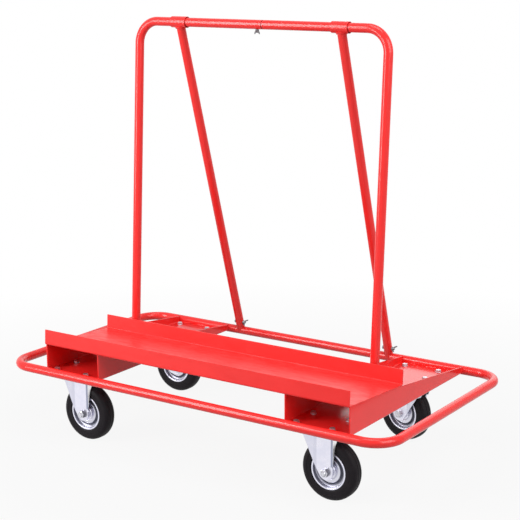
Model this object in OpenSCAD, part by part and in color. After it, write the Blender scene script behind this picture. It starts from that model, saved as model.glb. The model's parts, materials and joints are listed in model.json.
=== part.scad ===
// Drywall cart: bumper loop on four swivel casters, tilted tray, braced upright frame
// Units are millimetres. The origin is on the floor, under the middle of the bumper loop.
// X runs along the cart, Y from the loading side to the brace side, Z up.

/* [Tube] */
// Outside diameter of every frame tube
tube_od = 25; // [20:0.5:40]
// Wall of every frame tube
tube_wall = 1.5; // [1:0.1:4]

/* [Bumper loop] */
// Length of the loop between tube centres
loop_length = 1220; // [900:5:1800]
// Width of the loop between tube centres
loop_width = 644; // [500:2:900]
// Bend radius of the loop corners at the tube centre
corner_radius = 70; // [45:1:140]

/* [Upright frame] */
// Lean of the upright frame and of the tray, in degrees
lean = 3.5; // [1:0.1:9]
// Distance of the posts outside the middle of the channels
post_shift = 1; // [-20:0.5:20]
// Height of the top bar above the bumper loop, along the lean
frame_rise = 950; // [500:2:1400]
// Bend radius at the top of the posts
top_radius = 62; // [45:1:120]
// Seam between the two halves of the top bar, from the middle
seam_offset = 19; // [15:1:60]
// Distance of the braces inside the posts
brace_inset = 141; // [110:1:250]
// Length of the collar on top of each brace
collar_length = 52; // [35:1:120]
// Outside diameter of the collar
collar_od = 31; // [29:0.5:48]
// Clearance between a tube and what slides in it or over it
slide_gap = 0.05; // [0.02:0.01:0.1]

/* [Tray] */
// Length of the tray
tray_length = 988; // [700:2:1200]
// Depth of the tray between the outsides of the lips
tray_depth = 269; // [150:1:320]
// Height of both lips
lip_height = 43; // [20:1:90]
// Distance of the front lip from the middle
tray_front = 299; // [240:1:310]
// Height of the front fold above the loop centre
tray_rise = 68; // [55:1:120]
// Thickness of the folded sheet
sheet = 3; // [2:0.25:4]
// Space between the rear lip and the posts
post_gap = 4; // [1:0.5:20]

/* [Cross channels] */
// Width of each channel
channel_width = 190; // [160:1:260]
// Underside of the channels below the loop centre
channel_drop = 8; // [6:0.5:10]

/* [Casters] */
// Total height of a caster
caster_height = 195; // [190:1:230]
// Height of the swivel head, from the top of the wheel to the top of the plate
head_height = 35; // [28:1:70]
// Wheel width
wheel_width = 40; // [30:1:44]
// Distance of the axle behind the kingpin
trail = 28; // [20:1:60]
// Distance of the kingpins inside the long rails
caster_inset = 80; // [76:1:120]
// How far the casters sit off the middle of the channels
caster_shift = -15; // [-25:1:25]
// Plate length along the channel width
plate_length = 135; // [125:1:150]
// Plate width
plate_width = 110; // [100:1:120]
// Hole spacing along the plate length
hole_x = 105; // [100:1:115]
// Hole spacing along the plate width
hole_y = 80; // [70:1:86]
// Plate thickness
plate_thick = 5; // [4:0.5:8]

/* [Fasteners] */
// Thread size of the bolts with wing nuts
wing_thread = 6; // [5:1:8]
// Height of the brace bolts above the loop centre, along the brace
brace_bolt_rise = 30; // [24:1:60]
// Thread size of the caster bolts
mount_thread = 8; // [8:1:10]
// Thread size of the wheel axles
axle_thread = 12; // [10:1:12]

/* [Hidden] */
$fn = 72;
weld_gap = 0.02;
move_gap = 0.3;
run_gap = 0.06;
tube_r = tube_od / 2;
bore_r = tube_r - tube_wall;
slide_r = bore_r - slide_gap;
collar_r = collar_od / 2;
rail_z = caster_height + channel_drop;
half_l = loop_length / 2;
half_w = loop_width / 2;
floor_z = caster_height;
floor_top = floor_z + sheet;
fold_z = rail_z + tray_rise;
channel_out = tray_length / 2;
channel_in = channel_out - channel_width;
channel_mid = channel_out - channel_width / 2;
post_x = channel_mid + post_shift;
brace_x = post_x - brace_inset;
caster_y = half_w - caster_inset;
post_y = -tray_front + (tray_depth + tube_r + post_gap - tray_rise * sin(lean)) / cos(lean);
top_y = post_y + frame_rise * sin(lean);
top_z = rail_z + frame_rise * cos(lean);
brace_len = norm([half_w - top_y, top_z - rail_z]);
brace_tilt = atan2(half_w - top_y, top_z - rail_z);
peg_grip = 28;
peg_len = brace_bolt_rise + peg_grip;
socket_len = 110;
foot_reach = 40;
foot_cut = 60;
wing_r = wing_thread / 2;
wing_seat = tube_r + move_gap;
bolt_end = tube_r + wing_thread * 1.55;
sleeve_reach = 40;
sleeve_wall = 2.5;
sleeve_r = slide_r - sleeve_wall;
stud_head_r = sleeve_r * 0.7;
stud_head = 2.5;
stud_seat = sqrt(sleeve_r * sleeve_r - stud_head_r * stud_head_r) - slide_gap;
foot_wing_turn = 103.5;
// Wheel and fork
wheel_od = caster_height - head_height;
wheel_r = wheel_od / 2;
wheel_hw = wheel_width / 2;
lip_r = wheel_r * 0.625;
seat_r = lip_r - 4;
lip_y = wheel_hw - 1;
seat_y = wheel_hw - 3;
hub_r = 16;
spacer_r = 10;
axle_r = axle_thread / 2;
leg_in = wheel_hw + 7;
leg_thick = 4;
leg_out = leg_in + leg_thick;
hub_y = leg_in - 3;
boss_r = 34;
boss_h = 9;
boss_z = caster_height - plate_thick - boss_h;
crown_top = boss_z - move_gap;
crown_thick = 5;
crown_bottom = crown_top - crown_thick;
crown_r = 57;
pin_r = 6;
flange_in = wheel_hw + 2.5;
eye_r = 20;
eye_step = 0.4;
leg_r = eye_r - eye_step;
lead_x = 52;
lead_drop = 8;
tail_flare = 6;
flange_thick = 3;
flange_foot = 22;
flange_head = 12;
mount_r = mount_thread / 2;
mount_hole = mount_r + 0.5;
washer = 2;
// Caster positions: x, y, heading of the trail, resting turn of the fork from it
casters = [
    [channel_mid + caster_shift, -caster_y, 0, 0],
    [-channel_mid + caster_shift, -caster_y, 0, 0],
    [channel_mid + caster_shift, caster_y, 180, -10],
    [-channel_mid + caster_shift, caster_y, 180, 0]
];

// Small helpers
module ring2(outer, inner) {
    difference() {
        circle(r = outer);
        circle(r = inner);
    }
}

module tube_x(length, outer, inner) {
    rotate([0, 90, 0]) linear_extrude(height = length) ring2(outer, inner);
}

module rod_x(length, radius) {
    rotate([0, 90, 0]) cylinder(r = radius, h = length);
}

module rod_y(length, radius) {
    rotate([-90, 0, 0]) cylinder(r = radius, h = length);
}

// Hexagon given by its width across flats
module hex(flats, height) {
    cylinder(r = flats / 2 / cos(30), h = height, $fn = 6);
}

// Open fold: a flat bottom with two upright sides
module fold2(width, height, thick, radius) {
    inner = radius - thick;
    difference() {
        union() {
            translate([0, radius]) square([width, height - radius]);
            translate([radius, 0]) square([width - 2 * radius, height]);
            translate([radius, radius]) circle(r = radius);
            translate([width - radius, radius]) circle(r = radius);
        }
        translate([thick, radius]) square([width - 2 * thick, height]);
        translate([radius, thick]) square([width - 2 * radius, height]);
        translate([radius, radius]) circle(r = inner);
        translate([width - radius, radius]) circle(r = inner);
    }
}

// Both rails as plain rods, to shape what is welded against them
module rail_rods(extra) {
    for (side = [-1, 1])
        translate([-half_l, side * half_w, rail_z]) rod_x(loop_length, tube_r + extra);
}

// Frame of the leaning uprights: origin at the loop height between the posts
module in_lean() {
    translate([0, post_y, rail_z]) rotate([-lean, 0, 0]) children();
}

// Frame of one brace: origin on the rear rail, Z along the brace
module in_brace(side) {
    translate([side * brace_x, half_w, rail_z]) rotate([brace_tilt, 0, 0]) children();
}

module in_caster(n) {
    translate([casters[n][0], casters[n][1], 0]) rotate([0, 0, casters[n][2]]) children();
}

module in_fork(n) {
    in_caster(n) rotate([0, 0, casters[n][3]]) children();
}

// Bumper loop, two bent halves that meet at the middle of the long rails
module bumper_half(side) {
    straight = half_l - corner_radius;
    mirror([side < 0 ? 1 : 0, 0, 0]) translate([0, 0, rail_z]) {
        for (edge = [-1, 1]) {
            translate([0, edge * half_w, 0]) tube_x(straight, tube_r, bore_r);
            translate([straight, edge * (half_w - corner_radius), 0])
                mirror([0, edge < 0 ? 1 : 0, 0])
                rotate_extrude(angle = 90) translate([corner_radius, 0]) ring2(tube_r, bore_r);
        }
        translate([half_l, half_w - corner_radius, 0]) rotate([90, 0, 0])
            linear_extrude(height = loop_width - 2 * corner_radius) ring2(tube_r, bore_r);
    }
}

// Cross channel, coped onto both long rails, side walls tapering to the rear
module channel(side) {
    wall_y = -tray_front + sheet + 2;
    back_y = -tray_front + tray_depth * cos(lean);
    front_top = fold_z - (wall_y + tray_front) * tan(lean) - weld_gap;
    back_top = fold_z - (back_y + tray_front) * tan(lean) - weld_gap;
    tall = fold_z - floor_z + 10;
    difference() {
        intersection() {
            translate([side > 0 ? channel_in : -channel_out, half_w, floor_z]) rotate([90, 0, 0])
                linear_extrude(height = loop_width) fold2(channel_width, tall, sheet, sheet + 2);
            translate([-half_l, 0, 0]) rotate([90, 0, 90]) linear_extrude(height = loop_length)
                polygon([[-half_w, floor_z - 1], [half_w, floor_z - 1], [half_w, rail_z + tube_r * 0.8],
                    [back_y, back_top], [wall_y, front_top], [wall_y, floor_top + 4],
                    [-half_w, floor_top + 4]]);
        }
        rail_rods(weld_gap);
        for (n = side > 0 ? [0, 2] : [1, 3])
            in_caster(n) mount_spots() translate([0, 0, floor_z - 1]) cylinder(r = mount_hole, h = sheet + 2);
    }
}

module tray_sheet() {
    translate([-tray_length / 2, -tray_front, fold_z]) rotate([-lean, 0, 0]) rotate([90, 0, 90])
        linear_extrude(height = tray_length) fold2(tray_depth, lip_height, sheet, sheet + 2);
}

// Everything on a leaning post is cut level with the channel floor
module on_floor() {
    difference() {
        children();
        translate([-half_l, post_y - foot_cut, floor_top - foot_cut + weld_gap])
            cube([loop_length, 2 * foot_cut, foot_cut]);
    }
}

module post_socket(side) {
    on_floor() in_lean() translate([side * post_x, 0, -foot_reach])
        cylinder(r = slide_r, h = foot_reach + socket_len);
}

module upright(side) {
    seam = side * seam_offset;
    difference() {
        on_floor() in_lean() mirror([side < 0 ? 1 : 0, 0, 0]) {
            translate([post_x, 0, -foot_reach])
                linear_extrude(height = frame_rise - top_radius + foot_reach) ring2(tube_r, bore_r);
            translate([post_x - top_radius, 0, frame_rise - top_radius]) rotate([90, 0, 0])
                rotate_extrude(angle = 90) translate([top_radius, 0]) ring2(tube_r, bore_r);
            translate([seam + weld_gap, 0, frame_rise])
                tube_x(post_x - top_radius - seam - weld_gap, tube_r, bore_r);
        }
        in_lean() translate([0, 0, frame_rise - tube_od]) cylinder(r = wing_r + slide_gap, h = tube_od);
    }
}

module splice_rod() {
    in_lean() difference() {
        translate([-sleeve_reach, 0, frame_rise])
            tube_x(2 * sleeve_reach + 2 * seam_offset, slide_r, sleeve_r);
        translate([0, 0, frame_rise - tube_od]) cylinder(r = wing_r + slide_gap, h = tube_od);
    }
}

// Hex bolt, head underside at zero, shank down to -length
module hex_bolt(thread, length) {
    translate([0, 0, -length]) cylinder(r = thread / 2, h = length + 1);
    hex(thread * 1.65, thread * 0.65);
}

// Wing nut, seat face at zero, wings spread along X
module wing_nut() {
    size = wing_thread;
    difference() {
        union() {
            cylinder(r1 = size * 0.9, r2 = size * 0.72, h = size * 1.1);
            for (side = [0, 1]) mirror([side, 0, 0]) rotate([90, 0, 0])
                translate([0, 0, -size * 0.17]) linear_extrude(height = size * 0.34)
                polygon([[size * 0.5, size * 0.25], [size * 1.2, size * 0.5], [size * 1.95, size * 1.3],
                    [size * 2.1, size * 1.95], [size * 1.75, size * 2.15], [size * 1.3, size * 1.75],
                    [size * 0.5, size * 0.95]]);
        }
        translate([0, 0, -1]) cylinder(r = wing_r + run_gap, h = size * 3);
    }
}

// Stud put in from inside the sleeve, its head on the sleeve's lower wall
module top_bolt() {
    in_lean() translate([0, 0, frame_rise - stud_seat]) {
        cylinder(r = stud_head_r, h = stud_head);
        translate([0, 0, stud_seat - bolt_end]) cylinder(r = wing_r, h = bolt_end - stud_seat + 1);
    }
}

module top_wing_nut() {
    in_lean() translate([0, 0, frame_rise - wing_seat]) rotate([180, 0, 90]) wing_nut();
}

module brace(side) {
    in_brace(side) difference() {
        linear_extrude(height = brace_len) ring2(tube_r, bore_r);
        translate([-tube_od, 0, 0]) rod_x(2 * tube_od, tube_r + slide_gap);
        translate([-tube_od, 0, brace_len]) rod_x(2 * tube_od, collar_r + weld_gap);
        translate([-tube_od, 0, brace_bolt_rise]) rod_x(2 * tube_od, wing_r + slide_gap);
    }
}

module brace_collar(side) {
    in_lean() translate([side * brace_x - collar_length / 2, 0, frame_rise])
        tube_x(collar_length, collar_r, tube_r + slide_gap);
}

module brace_peg(side) {
    in_brace(side) difference() {
        cylinder(r = slide_r, h = peg_len);
        translate([-tube_od, 0, 0]) rod_x(2 * tube_od, tube_r + weld_gap);
        translate([-tube_od, 0, brace_bolt_rise]) rod_x(2 * tube_od, wing_r + slide_gap);
    }
}

module brace_bolt(side) {
    in_brace(side) translate([-tube_r - slide_gap, 0, brace_bolt_rise]) rotate([0, -90, 0])
        hex_bolt(wing_thread, tube_r + slide_gap + bolt_end);
}

module brace_wing_nut(side) {
    in_brace(side) translate([wing_seat, 0, brace_bolt_rise]) rotate([0, 90, 0])
        rotate([0, 0, foot_wing_turn]) wing_nut();
}

// Caster pieces in the caster frame: kingpin on Z, trail along +X
module mount_spots() {
    for (dx = [-1, 1], dy = [-1, 1]) translate([dx * hole_x / 2, dy * hole_y / 2, 0]) children();
}

module caster_plate() {
    corner = 9;
    difference() {
        union() {
            translate([0, 0, caster_height - plate_thick]) linear_extrude(height = plate_thick) union() {
                square([plate_length - 2 * corner, plate_width], center = true);
                square([plate_length, plate_width - 2 * corner], center = true);
                for (dx = [-1, 1], dy = [-1, 1])
                    translate([dx * (plate_length / 2 - corner), dy * (plate_width / 2 - corner)])
                    circle(r = corner);
            }
            translate([0, 0, boss_z]) cylinder(r1 = boss_r - 5, r2 = boss_r, h = boss_h + 1);
        }
        translate([0, 0, boss_z - 1]) cylinder(r = pin_r + slide_gap, h = caster_height);
        translate([0, 0, caster_height - 7]) cylinder(r = 13, h = 8);
        mount_spots() translate([0, 0, boss_z]) cylinder(r = mount_hole, h = caster_height);
    }
}

module kingpin() {
    translate([0, 0, caster_height - 7]) cylinder(r = 11, h = 5);
    translate([0, 0, crown_bottom - move_gap - 5]) cylinder(r = pin_r, h = caster_height - 6 - crown_bottom + 5);
    translate([0, 0, crown_bottom - move_gap - 6]) cylinder(r1 = 8, r2 = 10, h = 6);
}

module fork() {
    lead = [-lead_x, crown_top - lead_drop];
    tail = [trail + leg_r + tail_flare, crown_top - lead_drop];
    heel = [trail + leg_r, wheel_r + flange_foot];
    neck = heel + (tail - heel) * (1 - (flange_head - lead_drop) / (tail[1] - heel[1]));
    back = [flange_thick, 0];
    eye = [trail, wheel_r];
    reach = norm(eye - lead);
    aim = atan2(eye[1] - lead[1], eye[0] - lead[0]) - asin(leg_r / reach);
    slope = sqrt(reach * reach - leg_r * leg_r);
    edge = slope * [cos(aim), sin(aim)];
    touch = lead + edge;
    inset = flange_thick * [-sin(aim), cos(aim)];
    shoulder = sqrt(crown_r * crown_r - leg_out * leg_out);
    difference() {
        union() {
            translate([0, 0, crown_bottom]) linear_extrude(height = crown_thick) intersection() {
                circle(r = crown_r);
                square([2 * crown_r + 2, 2 * leg_out], center = true);
            }
            for (side = [0, 1]) mirror([0, side, 0]) {
                translate([0, -leg_in, 0]) rotate([90, 0, 0]) linear_extrude(height = leg_thick) {
                    polygon([[-shoulder, crown_top], [shoulder, crown_top], tail, heel,
                        [trail + leg_r, wheel_r], eye, touch, lead]);
                    translate(eye) circle(r = eye_r);
                }
                translate([0, -flange_in, 0]) rotate([90, 0, 0])
                    linear_extrude(height = leg_out - flange_in) {
                    polygon([lead + 0.05 * edge, lead + 0.55 * edge, lead + 0.55 * edge + inset,
                        lead + 0.05 * edge + inset]);
                    polygon([heel, neck, neck - back, heel - back]);
                }
            }
        }
        translate([0, 0, crown_bottom - 1]) cylinder(r = pin_r + run_gap, h = crown_thick + 2);
        translate([trail, -2 * leg_out, wheel_r]) rod_y(4 * leg_out, axle_r + slide_gap);
    }
}

module in_axle() {
    translate([trail, 0, wheel_r]) children();
}

module axle_bolt() {
    in_axle() translate([0, leg_out, 0]) rotate([-90, 0, 0]) hex_bolt(axle_thread, 2 * leg_out + axle_thread);
}

module axle_nut() {
    in_axle() translate([0, -leg_out, 0]) rotate([90, 0, 0]) difference() {
        hex(axle_thread * 1.6, axle_thread * 0.8);
        translate([0, 0, -1]) cylinder(r = axle_r + slide_gap, h = axle_thread * 2);
    }
}

module axle_spacer() {
    in_axle() translate([0, -leg_in, 0]) rotate([-90, 0, 0])
        linear_extrude(height = 2 * leg_in) ring2(spacer_r, axle_r + slide_gap);
}

// Turned about the axle: the profile is given as radius and offset along the axle
module about_axle() {
    in_axle() rotate([90, 0, 0]) rotate_extrude() children();
}

module rim() {
    disc_r = seat_r - 10;
    half = [[spacer_r + run_gap, hub_y], [hub_r, hub_y], [hub_r + 1, seat_y - 5],
        [disc_r, seat_y - 3], [disc_r + 5, seat_y - 10], [seat_r - 2, seat_y - 10],
        [seat_r - 1, lip_y], [lip_r, lip_y], [lip_r, seat_y], [seat_r, seat_y]];
    about_axle() polygon(concat(half, [for (i = [len(half) - 1:-1:0]) [half[i][0], -half[i][1]]]));
}

module tyre() {
    shoulder = wheel_hw * 0.7;
    heel = 3;
    base_r = lip_r + 1;
    tread_hw = wheel_hw - shoulder;
    about_axle() union() {
        translate([seat_r + weld_gap, weld_gap - seat_y])
            square([wheel_r - shoulder - seat_r, 2 * (seat_y - weld_gap)]);
        translate([base_r + heel, -wheel_hw]) square([wheel_r - shoulder - base_r - heel, wheel_width]);
        translate([base_r, heel - wheel_hw]) square([heel + 1, wheel_width - 2 * heel]);
        translate([wheel_r - shoulder - 1, -tread_hw]) square([shoulder + 1, 2 * tread_hw]);
        for (side = [-1, 1]) {
            translate([wheel_r - shoulder, side * tread_hw]) circle(r = shoulder);
            translate([base_r + heel, side * (wheel_hw - heel)]) circle(r = heel);
        }
    }
}

// Caster fasteners, all four casters together
module every_mount() {
    for (n = [0:3]) in_caster(n) mount_spots() children();
}

module mount_bolt() {
    translate([0, 0, floor_top + washer]) hex_bolt(mount_thread, sheet + washer + plate_thick + mount_thread);
}

module mount_washer() {
    translate([0, 0, floor_top]) linear_extrude(height = washer) ring2(mount_thread, mount_r + 0.25);
}

module mount_nut() {
    translate([0, 0, caster_height - plate_thick - mount_thread * 0.8]) difference() {
        hex(mount_thread * 1.65, mount_thread * 0.8);
        translate([0, 0, -1]) cylinder(r = mount_r + slide_gap, h = mount_thread * 2);
    }
}

// One module per piece
module bumper_rail_left() { color("red") bumper_half(-1); }
module bumper_rail_right() { color("red") bumper_half(1); }
module cross_channel_left() { color("firebrick") channel(-1); }
module cross_channel_right() { color("firebrick") channel(1); }
module tray() { color("red") tray_sheet(); }
module post_socket_left() { color("firebrick") post_socket(-1); }
module post_socket_right() { color("firebrick") post_socket(1); }
module brace_peg_left() { color("firebrick") brace_peg(-1); }
module brace_peg_right() { color("firebrick") brace_peg(1); }
module upright_left() { color("red") upright(-1); }
module upright_right() { color("red") upright(1); }
module splice_sleeve() { color("silver") splice_rod(); }
module splice_bolt() { color("dimgray") top_bolt(); }
module splice_wing_nut() { color("dimgray") top_wing_nut(); }
module brace_left() { color("red") brace(-1); }
module brace_right() { color("red") brace(1); }
module brace_collar_left() { color("red") brace_collar(-1); }
module brace_collar_right() { color("red") brace_collar(1); }
module brace_bolt_left() { color("dimgray") brace_bolt(-1); }
module brace_bolt_right() { color("dimgray") brace_bolt(1); }
module brace_wing_nut_left() { color("dimgray") brace_wing_nut(-1); }
module brace_wing_nut_right() { color("dimgray") brace_wing_nut(1); }
module caster_mount_bolts() { color("silver") every_mount() mount_bolt(); }
module caster_mount_washers() { color("silver") every_mount() mount_washer(); }
module caster_mount_nuts() { color("silver") every_mount() mount_nut(); }
module caster_plate_front_right() { color("lightgray") in_caster(0) caster_plate(); }
module kingpin_front_right() { color("gray") in_caster(0) kingpin(); }
module fork_front_right() { color("lightgray") in_fork(0) fork(); }
module axle_bolt_front_right() { color("silver") in_fork(0) axle_bolt(); }
module axle_nut_front_right() { color("silver") in_fork(0) axle_nut(); }
module axle_spacer_front_right() { color("silver") in_fork(0) axle_spacer(); }
module rim_front_right() { color("lightgray") in_fork(0) rim(); }
module tyre_front_right() { color("black") in_fork(0) tyre(); }
module caster_plate_front_left() { color("lightgray") in_caster(1) caster_plate(); }
module kingpin_front_left() { color("gray") in_caster(1) kingpin(); }
module fork_front_left() { color("lightgray") in_fork(1) fork(); }
module axle_bolt_front_left() { color("silver") in_fork(1) axle_bolt(); }
module axle_nut_front_left() { color("silver") in_fork(1) axle_nut(); }
module axle_spacer_front_left() { color("silver") in_fork(1) axle_spacer(); }
module rim_front_left() { color("lightgray") in_fork(1) rim(); }
module tyre_front_left() { color("black") in_fork(1) tyre(); }
module caster_plate_rear_right() { color("lightgray") in_caster(2) caster_plate(); }
module kingpin_rear_right() { color("gray") in_caster(2) kingpin(); }
module fork_rear_right() { color("lightgray") in_fork(2) fork(); }
module axle_bolt_rear_right() { color("silver") in_fork(2) axle_bolt(); }
module axle_nut_rear_right() { color("silver") in_fork(2) axle_nut(); }
module axle_spacer_rear_right() { color("silver") in_fork(2) axle_spacer(); }
module rim_rear_right() { color("lightgray") in_fork(2) rim(); }
module tyre_rear_right() { color("black") in_fork(2) tyre(); }
module caster_plate_rear_left() { color("lightgray") in_caster(3) caster_plate(); }
module kingpin_rear_left() { color("gray") in_caster(3) kingpin(); }
module fork_rear_left() { color("lightgray") in_fork(3) fork(); }
module axle_bolt_rear_left() { color("silver") in_fork(3) axle_bolt(); }
module axle_nut_rear_left() { color("silver") in_fork(3) axle_nut(); }
module axle_spacer_rear_left() { color("silver") in_fork(3) axle_spacer(); }
module rim_rear_left() { color("lightgray") in_fork(3) rim(); }
module tyre_rear_left() { color("black") in_fork(3) tyre(); }

bumper_rail_left();
bumper_rail_right();
cross_channel_left();
cross_channel_right();
tray();
post_socket_left();
post_socket_right();
brace_peg_left();
brace_peg_right();
upright_left();
upright_right();
splice_sleeve();
splice_bolt();
splice_wing_nut();
brace_left();
brace_right();
brace_collar_left();
brace_collar_right();
brace_bolt_left();
brace_bolt_right();
brace_wing_nut_left();
brace_wing_nut_right();
caster_mount_bolts();
caster_mount_washers();
caster_mount_nuts();
caster_plate_front_right();
kingpin_front_right();
fork_front_right();
axle_bolt_front_right();
axle_nut_front_right();
axle_spacer_front_right();
rim_front_right();
tyre_front_right();
caster_plate_front_left();
kingpin_front_left();
fork_front_left();
axle_bolt_front_left();
axle_nut_front_left();
axle_spacer_front_left();
rim_front_left();
tyre_front_left();
caster_plate_rear_right();
kingpin_rear_right();
fork_rear_right();
axle_bolt_rear_right();
axle_nut_rear_right();
axle_spacer_rear_right();
rim_rear_right();
tyre_rear_right();
caster_plate_rear_left();
kingpin_rear_left();
fork_rear_left();
axle_bolt_rear_left();
axle_nut_rear_left();
axle_spacer_rear_left();
rim_rear_left();
tyre_rear_left();
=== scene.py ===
"""Drywall cart: its visible pieces, finishes and stage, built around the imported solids."""

import json
import math

import bmesh
import bpy
from bpy.props import FloatProperty, FloatVectorProperty, IntProperty, PointerProperty
from bpy.types import Operator, Panel, PropertyGroup
from mathutils import Matrix, Vector


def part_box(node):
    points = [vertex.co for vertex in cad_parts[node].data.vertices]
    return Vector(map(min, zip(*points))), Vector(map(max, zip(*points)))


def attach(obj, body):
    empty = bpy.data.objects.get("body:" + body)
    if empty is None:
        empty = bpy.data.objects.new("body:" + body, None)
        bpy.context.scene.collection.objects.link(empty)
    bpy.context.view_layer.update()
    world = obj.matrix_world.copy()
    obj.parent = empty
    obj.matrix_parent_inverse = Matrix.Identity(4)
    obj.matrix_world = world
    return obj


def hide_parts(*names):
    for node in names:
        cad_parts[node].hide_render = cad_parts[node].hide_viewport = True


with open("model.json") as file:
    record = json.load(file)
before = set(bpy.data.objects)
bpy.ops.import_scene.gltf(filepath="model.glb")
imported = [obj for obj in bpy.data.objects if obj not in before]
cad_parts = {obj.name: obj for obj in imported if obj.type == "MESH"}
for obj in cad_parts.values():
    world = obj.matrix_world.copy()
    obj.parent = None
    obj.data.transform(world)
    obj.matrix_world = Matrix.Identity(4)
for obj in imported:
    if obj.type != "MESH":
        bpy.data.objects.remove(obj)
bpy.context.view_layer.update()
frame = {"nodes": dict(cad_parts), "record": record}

bl_info = {
    "name": "Drywall Cart",
    "version": (1, 0, 0),
    "blender": (4, 5, 0),
    "location": "3D View > Sidebar > Cart",
    "description": "Visible pieces, finishes and stage of a drywall cart",
    "category": "Object",
}

MM = 0.001
WEAR = "edge_wear"
RADIUS = "turned_radius"
# Face mark: above nought it paints shade into seams, collar mouths, fork creases and nut flats; below nought
# it paints a highlight on the fork flanges and roughens the tray's paint as scuffing.
TONE = "worked_tone"
SMOOTH_LIMIT = math.radians(34)
SIDES = {"left": -1, "right": 1}
CASTERS = ("front_right", "front_left", "rear_right", "rear_left")

# Tolerances in metres
MERGE = 1e-6
TOUCH = 1e-5
CUT = 1e-7
FINE_CUT = 1e-8

# Bolt heads and nuts, as shares of the thread
FLATS = 1.65
AXLE_NUT_FLATS = 1.6
HEAD_HEIGHT = 0.65
NUT_HEIGHT = 0.8

# Caster plate, its holes and the outside of the fork's legs, from the middle
PLATE_HALF_X = 67.5 * MM
PLATE_HALF_Y = 55 * MM
PLATE_THICK = 5 * MM
HOLE_HALF_X = 52.5 * MM
HOLE_HALF_Y = 40 * MM
WASHER_THICK = 2 * MM
LEG_OUT = 31 * MM

# Softboxes: name, place, width, height and the setting that holds the power
SOFTBOXES = (
    ("front_softbox", (-1.75, -2.45, 1.6), 1.1, 2.6, "front_light"),
    ("right_softbox", (3.0, -0.8, 2.2), 2.6, 2.4, "right_light"),
    ("top_softbox", (0.2, -0.4, 3.2), 1.6, 1.0, "top_light"),
    ("back_softbox", (-0.2, 3.2, 1.9), 3.0, 2.2, "back_light"),
)
LAMP_AIM = Vector((0, 0, 0.45))
FLOOR_HALF = 90
SHADOW_NEAR = 0.7
SHADOW_FAR = 1.9

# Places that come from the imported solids
RAIL_LOW, RAIL_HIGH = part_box("bumper_rail_right")
TUBE_R = (RAIL_HIGH.z - RAIL_LOW.z) / 2
RAIL_Z = (RAIL_HIGH.z + RAIL_LOW.z) / 2
HALF_LENGTH = RAIL_HIGH.x - TUBE_R
HALF_WIDTH = RAIL_HIGH.y - TUBE_R
CHANNEL_LOW, CHANNEL_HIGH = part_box("cross_channel_right")
COLLAR_LOW, COLLAR_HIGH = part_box("brace_collar_right")
TRAY_LOW, TRAY_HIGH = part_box("tray")


class CartSizes(PropertyGroup):
    """Sizes of the cart that a user would change."""

    tube_wall: FloatProperty(
        name="Tube wall", description="Wall of the frame tubes",
        default=1.5 * MM, subtype="DISTANCE", unit="LENGTH", precision=4)
    corner_radius: FloatProperty(
        name="Corner radius", description="Bend radius of the bumper loop",
        default=70 * MM, subtype="DISTANCE", unit="LENGTH", precision=4)
    top_radius: FloatProperty(
        name="Top radius", description="Bend radius at the top of the posts",
        default=62 * MM, subtype="DISTANCE", unit="LENGTH", precision=4)
    lean: FloatProperty(
        name="Lean", description="Lean of the upright frame and of the tray",
        default=math.radians(3.5), subtype="ANGLE", unit="ROTATION")
    post_x: FloatProperty(
        name="Post distance", description="Distance of each post from the middle",
        default=400 * MM, subtype="DISTANCE", unit="LENGTH", precision=4)
    frame_rise: FloatProperty(
        name="Frame rise", description="Top bar above the bumper loop, along the lean",
        default=950 * MM, subtype="DISTANCE", unit="LENGTH", precision=4)
    seam: FloatProperty(
        name="Seam", description="Seam of the top bar, from the middle",
        default=19 * MM, subtype="DISTANCE", unit="LENGTH", precision=4)
    sheet: FloatProperty(
        name="Sheet", description="Thickness of the folded sheet",
        default=3 * MM, subtype="DISTANCE", unit="LENGTH", precision=4)
    fold_radius: FloatProperty(
        name="Fold radius", description="Outside radius of the folds in the sheet",
        default=5 * MM, subtype="DISTANCE", unit="LENGTH", precision=4)
    tray_depth: FloatProperty(
        name="Tray depth", description="Tray between the outsides of its lips",
        default=269 * MM, subtype="DISTANCE", unit="LENGTH", precision=4)
    lip_height: FloatProperty(
        name="Lip height", description="Height of both tray lips",
        default=43 * MM, subtype="DISTANCE", unit="LENGTH", precision=4)
    tray_rise: FloatProperty(
        name="Tray rise", description="Front fold of the tray above the bumper loop",
        default=68 * MM, subtype="DISTANCE", unit="LENGTH", precision=4)
    tray_front: FloatProperty(
        name="Tray front", description="Front lip's distance from the middle",
        default=299 * MM, subtype="DISTANCE", unit="LENGTH", precision=4)
    post_gap: FloatProperty(
        name="Post gap", description="Space between the rear lip and the posts",
        default=4 * MM, subtype="DISTANCE", unit="LENGTH", precision=4)
    wing_thread: FloatProperty(
        name="Wing thread", description="Thread of the bolts with wing nuts",
        default=6 * MM, subtype="DISTANCE", unit="LENGTH", precision=4)
    mount_thread: FloatProperty(
        name="Mount thread", description="Thread of the caster bolts",
        default=8 * MM, subtype="DISTANCE", unit="LENGTH", precision=4)
    axle_thread: FloatProperty(
        name="Axle thread", description="Thread of the wheel axles",
        default=12 * MM, subtype="DISTANCE", unit="LENGTH", precision=4)
    weld_bead: FloatProperty(
        name="Weld bead", description="Radius of the weld beads",
        default=2.2 * MM, subtype="DISTANCE", unit="LENGTH", precision=4)
    brace_weld: FloatProperty(
        name="Brace weld", description="Radius of the fillet weld under each collar",
        default=3.4 * MM, subtype="DISTANCE", unit="LENGTH", precision=4)
    wing_turn: FloatProperty(
        name="Wing turn", description="Resting turn of the wing nuts at the brace feet",
        default=math.radians(103.5), subtype="ANGLE", unit="ROTATION")
    edge_round: FloatProperty(
        name="Edge rounding", description="Rounding of cut sheet and plate edges",
        default=0.6 * MM, subtype="DISTANCE", unit="LENGTH", precision=4)
    tube_sides: IntProperty(
        name="Tube sides", description="Facets round each tube", default=48, min=16, max=96)


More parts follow.
